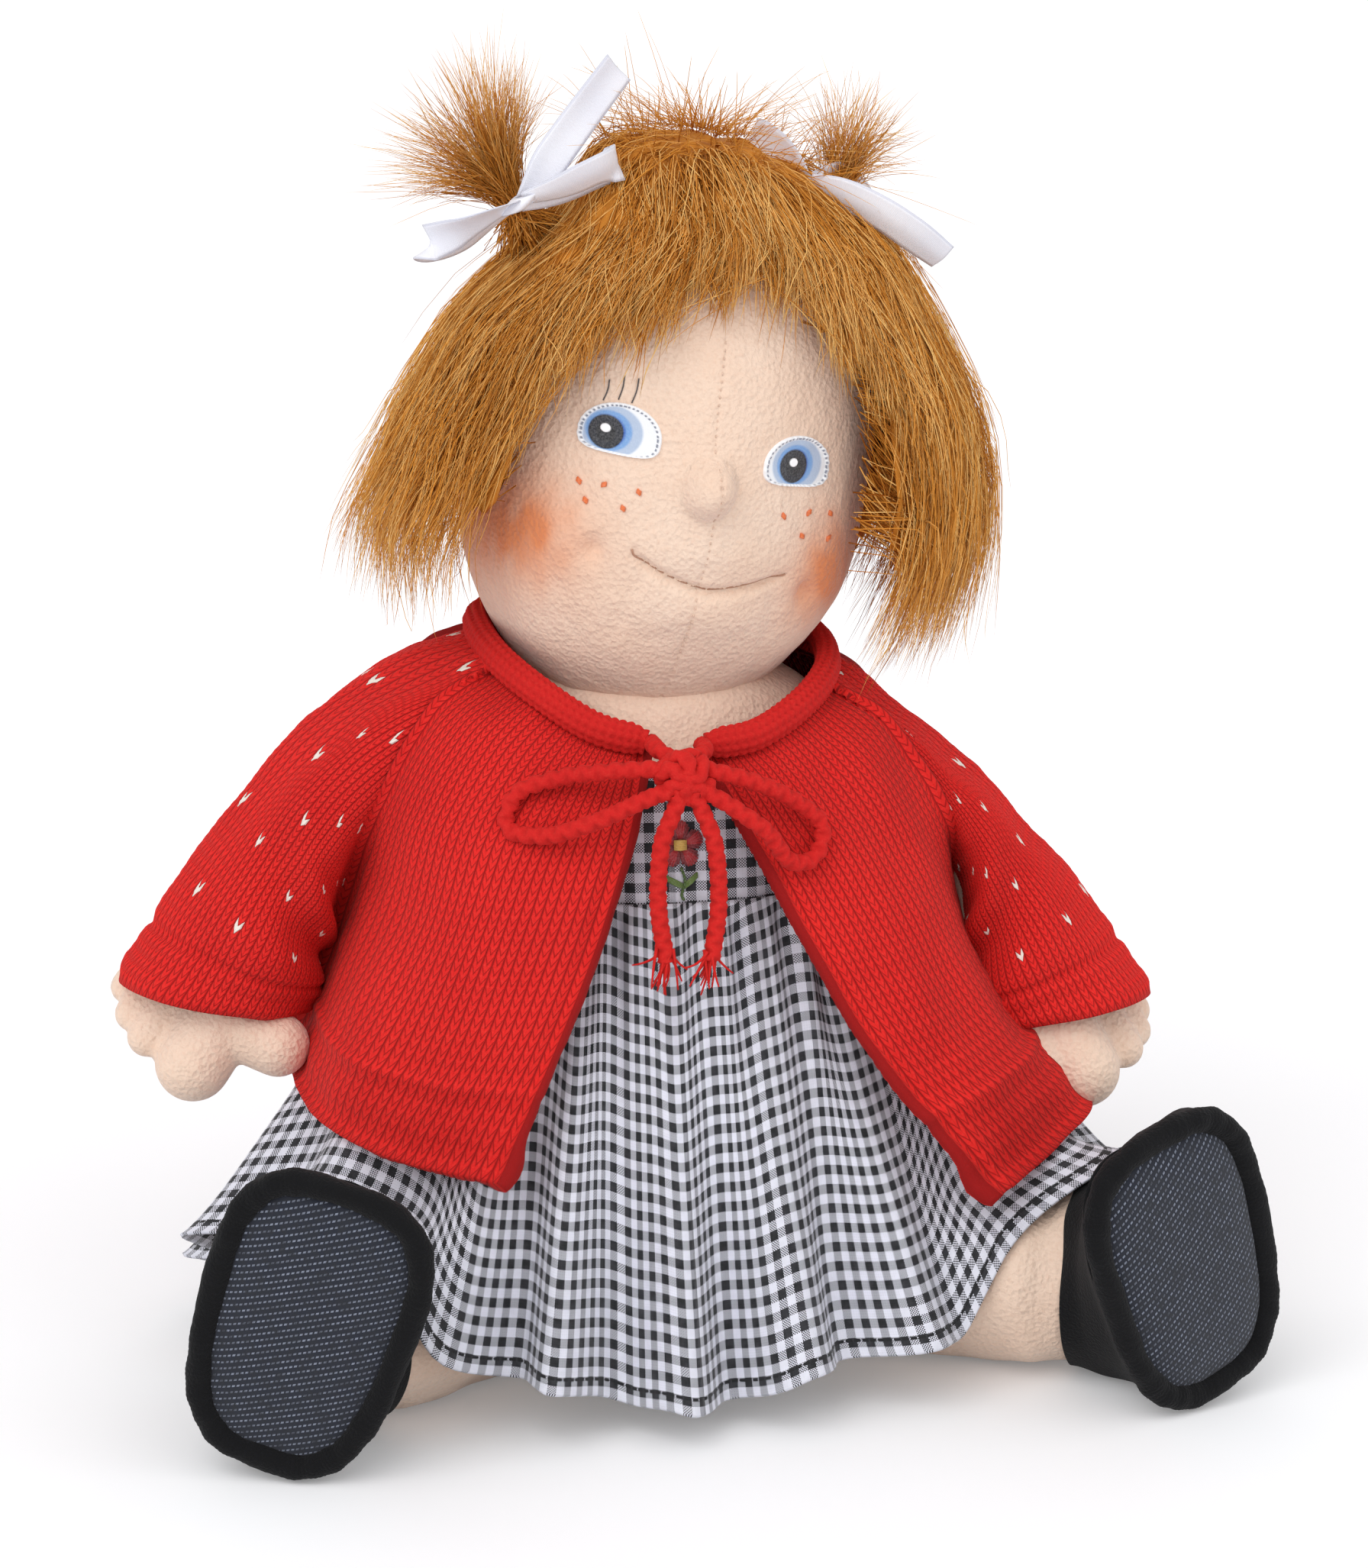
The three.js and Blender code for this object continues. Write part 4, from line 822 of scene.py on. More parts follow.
def stuffed_head(grid, lift=0.0):
    """Places on the plain head moved out to the stuffed one, and lifted off it."""
    x, y, z = np.moveaxis(grid, -1, 0)
    away = unit((grid - np.array([0, 0, HEAD_MIDDLE])) / HEAD_HALF**2)
    facing = smooth(6.0, -6.0, y)
    forward, out = face_relief(x, z)
    out = (out + 0.4 * ripple(grid, 26, 3) + 0.1 * ripple(grid, 6, 4)) * facing + lift
    out = out + 2.2 * ridge(z, 36, 22) * np.abs(np.sin(np.arctan2(x, -y))) ** 2
    stuffed = grid + away * out[..., None]
    stuffed[..., 1] -= forward * facing
    return stuffed


def make_head():
    grid = head_grid()
    x, y, z = np.moveaxis(grid, -1, 0)
    facing = smooth(6.0, -6.0, y)
    stuffed = stuffed_head(grid)
    blush = sum(hill(x, z, (cx, cz), (rx, rz)) for cx, cz, rx, rz in CHEEKS) * facing
    blush = np.clip(blush * (1.05 + 0.2 * ripple(grid, 9, 5)), 0, 1) * 0.92
    points, faces = capped(stuffed)
    piece = make("head_soft", from_head(points), [f[:, ::-1] for f in faces], FLEECE, "head",
                 blush=np.append(blush.ravel(), [0, 0]))
    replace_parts(piece, "head_cover", "head_stuffing", "nose")


def on_face(x, z, lift):
    """A place on the stuffed face, seen from the front, lifted off it."""
    return stuffed_head(np.stack([x, face_depth(x, z), z], -1), lift)


def make_eye(name):
    """An embroidered patch: satin-stitched border, white, a shaded iris and a dark pupil with a highlight."""
    cx, cz, gaze = EYE_PATCHES[name]
    share = np.linspace(0, 1, 46)[:, None]
    angle = circle(180)[None, :]
    over = np.sin(angle) > 0
    tall = np.where(over, EYE_OVER, EYE_UNDER)
    power = np.where(over, 2.0, 3.6)
    reach = np.abs(np.cos(angle) / EYE_WIDE) ** power + np.abs(np.sin(angle) / tall) ** power
    reach = reach ** (-1 / power)
    u = share * reach * np.cos(angle)
    v = share * reach * np.sin(angle)
    paint = np.empty(u.shape + (3,))
    paint[:] = srgb(238, 240, 244)[:3]
    def lay(colour, amount):
        paint[:] = lerp(paint, np.array(colour[:3]), amount[..., None])
    def oval(shift, radii):
        return np.hypot((u - gaze - shift[0]) / radii[0], (v - shift[1]) / radii[1])
    for colour, shift, radii, fade in IRIS:
        lay(colour, smooth(*fade, oval(shift, radii)))
    pupil = oval((0, 0.2), (4.2, 4.5))
    lay(srgb(14, 14, 20), smooth(1.04, 0.94, pupil))
    lay(srgb(52, 60, 84), smooth(0.2, 0.1, np.abs(pupil - 0.72)) * 0.12)
    glint = oval((-0.2, 1.2), (1.25, 1.15))
    lay(srgb(252, 252, 254), smooth(1.1, 0.85, glint))
    rim = smooth(0.85, 0.885, share + 0 * angle)
    lay(srgb(244, 245, 248), rim)
    dash = (np.sin(angle * 46) > -0.2) * smooth(0.035, 0.02, np.abs(share - 0.905))
    lay(srgb(70, 82, 108), dash * 0.85 * smooth(-0.9, -0.3, np.sin(angle)))
    stitch = 0.14 * np.sin(angle * 150) * rim + 0.05 * np.sin(angle * 90) * (1 - rim) * (share > 0.1)
    lift = 0.55 + 0.4 * rim * np.sin(math.pi * smooth(0.84, 1.06, share)) + stitch
    lift = lift + 0.25 * smooth(1.1, 0.9, pupil) + 0.2 * smooth(1.1, 0.9, glint)
    lift = np.where(share > 0.985, 0.05, lift)
    top = on_face(cx + u, cz + v, lift)
    bottom = on_face(cx + u[-1:], cz + v[-1:], np.full((1, u.shape[1]), -0.6))
    points, faces = capped(np.concatenate([top, bottom]))
    colours = np.concatenate([paint.reshape(-1, 3), paint[-1], paint[0, :1], paint[-1, :1]])
    piece = make("eye_patch_" + name, from_head(points), [f[:, ::-1] for f in faces], EYE_THREAD, "head",
                 paint=colours)
    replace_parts(piece, "eye_" + name)


LASHES = [((-30.5, 79.6), (-29.6, 85.2)), ((-27, 80.6), (-26.3, 87)), ((-23.8, 80.4), (-22.9, 87))]
FRECKLES = [(-32.9, 57.7), (-27, 58.2), (-18.6, 57.9), (-30.5, 53.2), (-21.6, 53.0),
            (21.2, 56.4), (29, 57.5), (36.1, 57.3), (28.1, 51.2), (36.6, 50.7)]


def make_stitches():
    """Lashes, freckles, the mouth's thread and the row of small stitches down the face's seam."""
    threads = []
    def sew(points, radius, colour):
        x, z = np.array(points).T
        path = on_face(x, z, np.full(len(x), 0.1 + 0.4 * radius))
        threads.append((path, np.full(len(x), radius), colour))
    for low, high in LASHES:
        middle = lerp(np.array(low), np.array(high), 0.5) + [0.3, 0]
        sew(route([low, middle, high], 8), 0.2, srgb(70, 62, 60))
    for x, z in FRECKLES:
        slant = rng.uniform(-0.5, 0.5)
        for k in (-0.35, 0.0, 0.35):
            dot = [(x - 0.55, z + k - slant), (x, z + k), (x + 0.55, z + k + slant)]
            sew(dot, 0.36, srgb(228, 112, 46))
    sew(route(MOUTH, 60), 0.3, srgb(176, 128, 100))
    seam = route(SEAM, 170)
    for i in range(18, len(seam) - 22, 3):
        sew(seam[i:i + 2], 0.17, srgb(222, 190, 168))
    piece = sewn("face_stitches", threads, EYE_THREAD, "head", place=from_head)


make_head()
for side_name in SIDES:
    make_eye(side_name)
make_stitches()


# Wig: strands that leave the scalp and lie along a bell, a fringe, and two tied bunches

# Half the wig's outline from its top down, as reach and height, and how far it leans to the left by height
BELL = [(0, 152.5), (16, 151), (30, 146), (41, 135), (50, 122), (63, 106), (73, 92), (78.5, 79), (82.5, 64),
        (84, 50), (84.5, 40), (84, 31), (82, 23)]
WIG_LEAN = np.array([(20, 1), (35, 2.5), (50, 6), (79, 8.6), (100, 8), (125, 9), (140, 2), (152, -5)])
BELL_RUN = route(BELL, 400)
BELL_FLAT = 0.92
STRANDS, CROWN_STRANDS, CLUMP = 3000, 110, 14


def bell(azimuth, share):
    """A place on the wig's outside: azimuth as on the head, and share of the way down."""
    last = len(BELL_RUN) - 1
    spot = np.clip(share, 0, 1.08) * last
    i = np.clip(spot.astype(int), 0, last - 1)
    profile = BELL_RUN[i] + (BELL_RUN[i + 1] - BELL_RUN[i]) * (spot - i)[..., None]
    r, z = profile[..., 0], profile[..., 1]
    lean = np.interp(z, WIG_LEAN[:, 0], WIG_LEAN[:, 1])
    return np.stack([r * np.sin(azimuth) + lean, -BELL_FLAT * r * np.cos(azimuth), z], -1)


def scalp(azimuth, share):
    """A place on the head's cloth under the wig."""
    return plain_head(azimuth, 0.03 + np.clip(share, 0, 1.1) * math.radians(138), chin=0.0)


# Where the hair ends, by degrees from the front towards the doll's left: a fringe that arches over the face
FRINGE = np.array([(-180, 1), (-57, 0.98), (-51, 0.78), (-45, 0.6), (-33, 0.55), (-23, 0.48), (-14, 0.43),
                   (-4, 0.41), (6, 0.425), (17, 0.5), (26, 0.54), (35, 0.58), (41, 0.66), (45, 0.97),
                   (180, 1)])


def fringe_end(azimuth):
    """Share of the way down at which the hair stops: above the eyes in front, elsewhere at the shoulders."""
    jag = 0.03 * np.sin(azimuth * 23) + 0.02 * np.sin(azimuth * 57 + 1)
    return np.interp(np.degrees(azimuth), FRINGE[:, 0], FRINGE[:, 1]) + jag


def strand_mesh(name, paths, thickness, tones):
    """Thin three-sided strands that end in a point, with a tone along each that is darker at the root, partly
    painted shade, and lighter at the tip.
    """
    count, steps = paths.shape[:2]
    along = unit(np.gradient(paths, axis=1))
    side = unit(np.cross(along, unit(paths - np.array([0, 0, 60.0])) + 0.01))
    other = np.cross(along, side)
    taper = np.linspace(1.0, 0.35, steps)[None, :] * thickness[:, None]
    rings = []
    for angle in (0.5, 0.5 + 2 * math.pi / 3, 0.5 + 4 * math.pi / 3):
        rings.append(paths + (side * math.cos(angle) + 0.7 * other * math.sin(angle)) * taper[..., None])
    rings = np.stack(rings, 2)[:, :-1]
    body = rings.reshape(count, -1, 3)
    points = np.concatenate([body, paths[:, -1:]], 1)
    each = points.shape[1]
    skin = quads(steps - 1, 3, True)
    tip = each - 1
    last = (steps - 2) * 3
    ends = np.array([[last, last + 1, tip], [last + 1, last + 2, tip], [last + 2, last, tip], [2, 1, 0]])
    shift = (np.arange(count) * each)[:, None, None]
    faces = [(skin[None] + shift).reshape(-1, 4), (ends[None] + shift).reshape(-1, 3)]
    fade = np.linspace(0, 1, steps - 1)
    # Darker towards the root and lighter towards the tip: partly the fur's own colour, partly painted shade
    # under the hair above
    tone = tones[:, None] + np.repeat(lerp(-0.22, 0.2, fade), 3)[None, :]
    tone = np.concatenate([tone, tones[:, None] + 0.25], 1)
    piece = make(name, from_head(points.reshape(-1, 3)), faces, FUR, "head", tone=np.clip(tone, 0, 1).ravel())
    return piece


def wig_paths(count, seed):
    """Strands in clumps over the whole wig."""
    own = np.random.default_rng(seed)
    clumps = count // CLUMP
    clump_azimuth = own.uniform(-math.pi, math.pi, clumps)
    clump_root = own.uniform(0, 1, clumps) ** 0.8 * 0.72
    which = own.integers(0, clumps, count)
    azimuth = clump_azimuth[which] + own.normal(size=count) * 0.12 / (0.25 + clump_root[which])
    root = np.clip(clump_root[which] + own.normal(size=count) * 0.03, 0.0, 0.85)
    end_azimuth = clump_azimuth[which] + own.normal(size=clumps)[which] * 0.05
    end_azimuth = end_azimuth + own.normal(size=count) * 0.028
    over_face = root > fringe_end(azimuth) - 0.12
    azimuth = np.where(over_face, end_azimuth, azimuth)
    stop = fringe_end(end_azimuth)
    reach = own.uniform(0.36, 0.66, count) + 0.06 * own.normal(size=clumps)[which]
    ragged = 0.045 * own.normal(size=count) + 0.035 * own.normal(size=clumps)[which]
    in_fringe = stop < 0.9
    wisp = np.where(own.random(count) < 0.12, own.uniform(0.04, 0.1, count), 0.02)
    ends = np.minimum(root + reach, stop + np.where(in_fringe, wisp - np.abs(ragged), ragged - 0.02))
    too_low = root > stop - 0.1
    root = np.where(too_low, np.maximum(0, stop - own.uniform(0.15, 0.4, count)), root)
    ends = np.maximum(ends, root + 0.1)
    depth = own.uniform(0.7, 1.03, count)
    s = np.linspace(0, 1, 9)[None, :]
    share = lerp(root[:, None], ends[:, None], s)
    path_azimuth = lerp(azimuth[:, None], end_azimuth[:, None], smooth(0, 1, s))
    path_azimuth = path_azimuth + 0.03 * np.sin(5 * s + which[:, None]) * s
    lift = depth[:, None] * smooth(-0.25, 0.5, s) * (0.93 + 0.1 * np.sin(which * 1.7)[:, None])
    paths = lerp(scalp(path_azimuth, share), bell(path_azimuth, share), lift[..., None])
    loose = np.where((own.random(count) < 0.08) & ~in_fringe, 4.5, 1.3)
    stray = own.normal(size=(count, 1, 3)) * (s**2)[..., None] * loose[:, None, None]
    flick = np.abs(own.normal(size=clumps))[which] * 4.5 * smooth(0.75, 1.0, ends)
    stray = stray + unit(paths * np.array([1, 1, 0])) * (flick[:, None] * s**3)[..., None]
    # Strands lying deeper in the wig are darker: painted shade under the outer hair
    tones = 0.54 + 0.24 * own.normal(size=clumps)[which] + 0.13 * own.normal(size=count) - 0.3 * (1 - depth)
    return paths + stray, own.uniform(0.15, 0.3, count), tones


def crown_paths(count, seed):
    """Short strands that stand up from the crown and bend over."""
    own = np.random.default_rng(seed)
    azimuth = own.uniform(-math.pi, math.pi, count)
    root = bell(azimuth, own.uniform(0.0, 0.2, count)) - np.array([0, 0, 3.0])
    out = np.stack([np.sin(azimuth), -np.cos(azimuth), np.zeros(count)], -1)
    out = out + 0.5 * own.normal(size=(count, 3))
    s = np.linspace(0, 1, 9)[None, :, None]
    rise = own.uniform(3, 11, count)[:, None, None] * np.array([0, 0, 1.0])
    length = own.uniform(6, 20, count)[:, None, None]
    return root[:, None] + rise * s * (1.5 - 0.7 * s) + out[:, None] * length * s


def make_wig():
    azimuth = np.linspace(-math.pi, math.pi, 180, endpoint=False)[None, :]
    share = np.linspace(0.0, 1.0, 60)[:, None] * 0.82 * fringe_end(azimuth)
    under = lerp(scalp(azimuth + 0 * share, share), bell(azimuth + 0 * share, share), 0.6)
    under = under + ripple(under * np.array([1, 1, 0.15]), 7, 8)[..., None] * unit(under - [0, 0, 60.0])
    # The cap is darker than the strands over it: painted shade beneath the hair, with random streaks
    tone = 0.3 + 0.12 * ripple(under * np.array([1, 1, 0.1]), 5, 9)
    cap = cloth("wig_base", from_head(under[:, ::-1]), 2.0, FUR, "head", wrap=True, tone=tone[:, ::-1])
    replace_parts(cap, "hair_cap")
    for part in range(4):
        paths, thickness, tones = wig_paths(STRANDS, 20 + part)
        paths = np.concatenate([paths, crown_paths(CROWN_STRANDS, 60 + part)])
        thickness = np.append(thickness, np.full(CROWN_STRANDS, 0.17))
        tones = np.append(tones, np.full(CROWN_STRANDS, 0.55))
        strand_mesh("wig_strands_%d" % part, paths, thickness, tones)


# Each bunch: where it is tied, the tips its strands spread to, how many there are, and the seed of their lie
BUNCHES = {
    "right": ((-54, -4, 123), [(-93, -8, 121), (-91, -10, 135), (-85, -8, 149), (-74, -4, 160), (-61, 2, 163),
                               (-50, 4, 157)], 900, 41),
    "left": ((33, -2, 138), [(16, 0, 159), (28, -4, 166), (41, 2, 168), (52, 0, 160), (57, 4, 148)], 360, 42),
}


def make_bunch(name, base, tips, count, seed):
    """A tied bunch: strands that meet at its base and spread to a ragged row of tips."""
    own = np.random.default_rng(seed)
    base, tips = np.array(base, float), np.array(tips, float)
    tip = curve_at(tips, own.uniform(0, len(tips) - 1.001, count))
    tip = tip + own.normal(size=(count, 3)) * np.array([4.0, 8.0, 4.0])
    tip = base + (tip - base) * own.uniform(0.5, 1.07, count)[:, None]
    mean = unit(tips.mean(0) - base)
    start = base - mean * 9 + own.normal(size=(count, 3)) * 4.5
    waist = base + own.normal(size=(count, 3)) * 1.5
    swell = lerp(waist, tip, 0.45) + mean * 4 + own.normal(size=(count, 3)) * 1.5
    paths = np.stack([curve_at(np.stack([a, b, c, d]), np.linspace(0, 3, 10))
                      for a, b, c, d in zip(start, waist, swell, tip)])
    thickness = own.uniform(0.13, 0.26, count)
    piece = strand_mesh("bunch_" + name, paths, thickness, 0.5 + 0.2 * own.normal(size=count))
    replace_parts(piece, "hair_bunch_" + name)


make_wig()
for side_name, bunch in BUNCHES.items():
    make_bunch(side_name, *bunch)


# Ribbons

RIBBON, RIBBON_THICK, RIBBON_KNOT_THICK = 10.0, 0.35, 0.6
RIBBON_KNOTS = {"right": (-56, -21, 125), "left": (22, -12, 140)}
# Each part of a bow: points along it, the ways across it from its start to its end, its length in metres,
# and how far the knot pinches its two ends
RIBBONS = {
    "right": {
        "tail": ([(-55, -21, 126), (-50, -20, 136), (-42, -15, 149), (-33, -10, 163)],
                 [(0.9, 0.1, -0.25), (0.9, 0.2, -0.2), (0.85, 0.3, -0.3)], 0.048, (0.7, 0)),
        "loop_inner": ([(-55, -21, 126), (-46, -24, 131), (-37, -25, 137), (-32, -21, 139), (-37, -18, 135),
                        (-46, -18, 129), (-55, -20, 125)],
                       [(-0.4, -0.7, 0.7), (-0.4, -0.5, 0.8), (-0.4, -0.7, 0.7)], 0.056, (0.6, 0.6)),
        "loop_outer": ([(-57, -22, 124.5), (-64, -26, 121), (-72, -27, 116), (-79, -24, 111.5),
                        (-75, -20, 110.5), (-66, -20, 116), (-57, -20, 123.5)],
                       [(0.5, -0.5, 0.8), (0.3, -0.4, 0.9), (0.5, -0.5, 0.8)], 0.06, (0.6, 0.6)),
    },
    "left": {
        "loop_outer": ([(22, -17, 141), (30, -22, 139.5), (41, -24, 136), (51, -23, 131.5), (61, -20, 126.5)],
                       [(0.2, -0.6, 0.75), (0.4, -0.5, 0.8), (0.5, -0.4, 0.8)], 0.046, (0.6, 0.2)),
        "loop_inner": ([(22, -12, 140), (17, -8, 145), (11, -3, 149), (8, 2, 149), (13, 1, 145),
                        (22, -10, 140)],
                       [(0.5, -0.5, 0.7), (0.5, -0.4, 0.7), (0.5, -0.5, 0.7)], 0.046, (0.6, 0.6)),
        "tail": ([(23, -10, 141), (31, -3, 142), (40, 6, 138), (48, 14, 131)],
                 [(0.2, -0.6, 0.75), (0.4, -0.3, 0.8), (0.5, -0.3, 0.7)], 0.036, (0.7, 0)),
    },
}


def ribbon_piece(part, points, across, length, pinch):
    """A flat satin ribbon along points; pinch narrows its first and last part where the knot gathers it."""
    path = route(points, 60)
    along = unit(np.gradient(path, axis=0))
    s = np.linspace(0, 1, 60)
    stops = np.linspace(0, 1, len(across))
    ways = np.stack([np.interp(s, stops, way) for way in np.array(across, float).T], 1)
    wide = unit(ways - along * np.sum(ways * along, 1, keepdims=True))
    first, last = lerp(1, smooth(-0.12, 0.3, s), pinch[0]), lerp(1, smooth(1.12, 0.7, s), pinch[1])
    width = RIBBON / 2 * np.minimum(first, last)
    spread = np.linspace(-1, 1, 9)
    curl = np.cross(along, wide)[:, None] * (0.5 * np.cos(spread * 2.4)[None, :, None])
    grid = path[:, None] + wide[:, None] * (width[:, None] * spread[None, :])[..., None] + curl
    run = np.linspace(0, length_of(path), 60)
    uv = stacked(run[:, None], spread[None, :])
    piece = cloth("ribbon_" + part, from_head(grid), RIBBON_THICK, SATIN, "head", uv=uv)
    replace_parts(piece, "hair_ribbon_" + part)


def ribbon_knot(name):
    """A band of ribbon round the middle of a bow."""
    angle = circle(40)
    tilt = unit(np.array([0.5, 0.1, 0.85]))
    middle = np.array(RIBBON_KNOTS[name], float)
    path = middle + np.stack([3.6 * np.cos(angle), 3.2 * np.sin(angle), 1.6 * np.cos(angle)], 1)
    spread = np.linspace(-1, 1, 7)
    grid = path[:, None] + tilt * (3.6 * spread)[None, :, None]
    grid = middle + (grid - middle) * (1 - 0.16 * spread**2)[None, :, None]
    grid = grid.swapaxes(0, 1)
    uv = stacked(np.arange(40)[None, :] * 0.6, spread[:, None])
    piece = cloth("ribbon_knot_" + name, from_head(grid), RIBBON_KNOT_THICK, SATIN, "head", uv=uv, wrap=True)
    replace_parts(piece, "hair_ribbon_knot_" + name)


for side_name, bow in RIBBONS.items():
    ribbon_knot(side_name)
    for part_name, ribbon in bow.items():
        ribbon_piece(part_name + "_" + side_name, *ribbon)


# Torso, neck and knickers

TORSO_WIDTH, TORSO_DEPTH, SHOULDER, SEAT = 132.0, 104.0, 172.0, 1.6
# Ovals of the torso: share of its height, and shares of its width and depth
TORSO_FORM = np.array([[0, 0.62, 0.66], [0.03, 0.82, 0.84], [0.12, 0.96, 0.97], [0.3, 1, 1],
                       [0.55, 0.98, 0.96], [0.78, 0.99, 0.88], [0.92, 1, 0.78], [1, 0.7, 0.64]])
TORSO_GRAIN = 2.5
# Ovals of the neck: height, half width and half depth
NECK = [(158, 55, 38), (165, 54, 38), (172, 51, 36), (178, 47, 34), (183, 41, 32), (187, 35, 29),
        (191, 28, 26)]
SKIN_GROWTH, KNICKERS_GROWTH, KNICKERS_THICK, KNICKERS_TOP = 1.8, 3.0, 0.8, 58.0


def torso_at(height):
    """Half width and half depth of the stuffed torso at a height."""
    share = np.clip((np.asarray(height, float) - SEAT) / (SHOULDER - SEAT), 0, 1)
    wide = np.interp(share, TORSO_FORM[:, 0], TORSO_FORM[:, 1]) * TORSO_WIDTH / 2
    deep = np.interp(share, TORSO_FORM[:, 0], TORSO_FORM[:, 2]) * TORSO_DEPTH / 2
    return wide, deep


def grown(name, growth, material):
    """The torso's filling, rounded off and grown by a layer."""
    source = frame["nodes"]["torso_stuffing"].data.copy()
    steps = [("REMESH", {"mode": "VOXEL", "voxel_size": TORSO_GRAIN * MM}),
             ("SMOOTH", {"factor": 0.5, "iterations": 8}),
             ("DISPLACE", {"strength": growth * MM, "mid_level": 0.0})]
    return shaped(name, source, steps, material, "torso")


def make_torso():
    body = grown("torso_soft", SKIN_GROWTH, FLEECE)
    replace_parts(body, "torso_cover", "torso_stuffing")
    angle = circle(96)
    rings = []
    for height, wide, deep in NECK:
        rings.append(np.stack([wide * np.cos(angle), deep * np.sin(angle), np.full(96, height)], 1))
    rings = curve_at(np.array(rings, float), np.linspace(0, len(NECK) - 1, 40))
    rings = rings + 0.4 * ripple(rings, 14, 12)[..., None] * np.array([1, 1, 0])
    points, faces = capped(rings)
    neck = make("neck_soft", points, faces, FLEECE, "torso")


def make_knickers():
    source = grown("knickers_cloth", KNICKERS_GROWTH, COTTON)
    mesh = source.data
    work = bmesh.new()
    work.from_mesh(mesh)
    everything = work.verts[:] + work.edges[:] + work.faces[:]
    bmesh.ops.bisect_plane(work, geom=everything, plane_co=row([0, 0, KNICKERS_TOP]), plane_no=(0, 0, 1),
                           clear_outer=True)
    low = row([0, 0, 0.4])[2]
    for v in work.verts:
        v.co.z = max(v.co.z, low)
    bmesh.ops.solidify(work, geom=work.faces[:], thickness=KNICKERS_THICK * MM)
    work.to_mesh(mesh)
    work.free()
    mesh.shade_smooth()
    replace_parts(source, "knickers")


make_torso()
make_knickers()


# Dress: a bodice and a gathered skirt that drapes over the lap

WAIST, NECKLINE = 134.0, 170.0
HIP_FORWARD, HIP_Z, THIGH = 30.0, 29.0, 28.0
HIP_SPREAD = {1: 54.0, -1: 44.0}
SPLAY = {1: math.radians(66), -1: math.radians(52)}
# The cloth's ease over a leg, its slopes inside and outside the leg, and the least height of the hem
LAP_EASE, LAP_INSIDE, LAP_OUTSIDE, HEM_LIFT = 4.5, 2.6, 0.7, 1.6
# The hem all round, by degrees from the front towards the doll's left: reach from the body's axis, and height
HEM = np.array([(-180, 108, 2), (-125, 112, 2), (-98, 127, 14), (-80, 131, 36), (-62, 127, 50),
                (-51, 124, 44), (-41, 120, 25), (-28, 109, 20), (-12, 100, 12), (0, 101, 9), (12, 98, 13),
                (22, 100, 18), (32, 103, 18), (43, 111, 18), (50, 121, 30), (56, 129, 44), (66, 129, 52),
                (80, 129, 44), (96, 122, 22), (118, 111, 4), (135, 109, 2), (180, 108, 2)], float)
SKIRT_THICK, BODICE_THICK = 0.9, 1.0
FLOWER = np.array([1.5, 149.0])
SKIRT_ROWS, SKIRT_COLUMNS = 141, 361
SKIRT_FOLDS, FOLD_DEPTH, FOLD_DEPTH_FRONT, FOLD_RISE = 18, 5.5, 8.0, 2.6
SMALL_FOLDS, SMALL_DEPTH = 29, 1.6
WAIST_EASE, LAP_SOFTNESS = 3.6, 3.0
# Reaches out along a leg and a height of the lap, at which make_skirt works out two points that nothing uses
FOLLOWS_FROM, FOLLOWS_AT, LAP_LEVEL = 88.0, 118.0, 40.0


def hem_at(angle):
    """Reach and height of the hem at an angle, its corners rounded off."""
    around = np.arange(-180, 180)
    round_off = np.hanning(17) / np.hanning(17).sum()
    found = []
    for column in (1, 2):
        plain = np.interp(around, HEM[:, 0], HEM[:, column])
        soft = np.convolve(np.concatenate([plain[-8:], plain, plain[:8]]), round_off, "valid")
        found.append(np.interp(np.degrees(angle), around, soft, period=360))
    return found


def lap_height(side, x, y):
    """Height of the cloth over a leg, falling away on both sides as a tent."""
    angle = side * SPLAY[side]
    dx, dy = x - side * HIP_SPREAD[side], y + HIP_FORWARD
    along = dx * math.sin(angle) - dy * math.cos(angle)
    outwards = side * (dx * math.cos(angle) + dy * math.sin(angle))
    slope = np.where(outwards > 0, LAP_OUTSIDE, LAP_INSIDE)
    radius = THIGH + LAP_EASE
    crest = radius * slope / np.sqrt(1 + slope**2)
    across = np.abs(outwards)
    crown = np.sqrt(radius**2 - np.minimum(across, crest) ** 2)
    return HIP_Z + crown - slope * np.maximum(0, across - crest) - np.maximum(0, -along)


def skirt_surface(angle, t):
    """The skirt's outside: angle from the front towards the doll's left, and share of the way to the hem."""
    reach, height = hem_at(angle)
    wide, deep = (half + WAIST_EASE for half in torso_at(WAIST))
    fold = np.cos(SKIRT_FOLDS * angle + 1.4 * np.sin(2 * angle + 1))
    small = np.cos(SMALL_FOLDS * angle + 2 * np.sin(3 * angle))
    depth = lerp(FOLD_DEPTH, FOLD_DEPTH_FRONT, smooth(0.75, 0.45, np.abs(angle)))
    reach = reach + (depth * fold + SMALL_DEPTH * small) * smooth(0.05, 0.75, t)
    gather = np.cos(61 * angle + 2 * np.sin(5 * angle)) + 1.5 * np.cos(36 * angle + np.sin(4 * angle))
    gather = (1 - smooth(0.0, 0.5, t)) * smooth(0.0, 0.06, t) * gather
    x = lerp(wide, reach, t) * np.sin(angle) + gather * np.sin(angle)
    y = -lerp(deep, reach, t) * np.cos(angle) - gather * np.cos(angle)
    fall = lerp(height, WAIST, (1 - t) ** 1.25)
    over = np.maximum(lap_height(1, x, y), lap_height(-1, x, y))
    # A soft maximum, so that the cloth leaves the legs in a curve
    high = np.maximum(fall, over)
    both = np.exp((fall - high) / LAP_SOFTNESS) + np.exp((over - high) / LAP_SOFTNESS)
    z = high + LAP_SOFTNESS * np.log(both) * smooth(0, 0.1, t)
    z = z + FOLD_RISE * smooth(0.1, 0.7, t) * fold * smooth(0, 12, z - HEM_LIFT)
    return np.stack([x, y, np.maximum(z, HEM_LIFT)], -1)


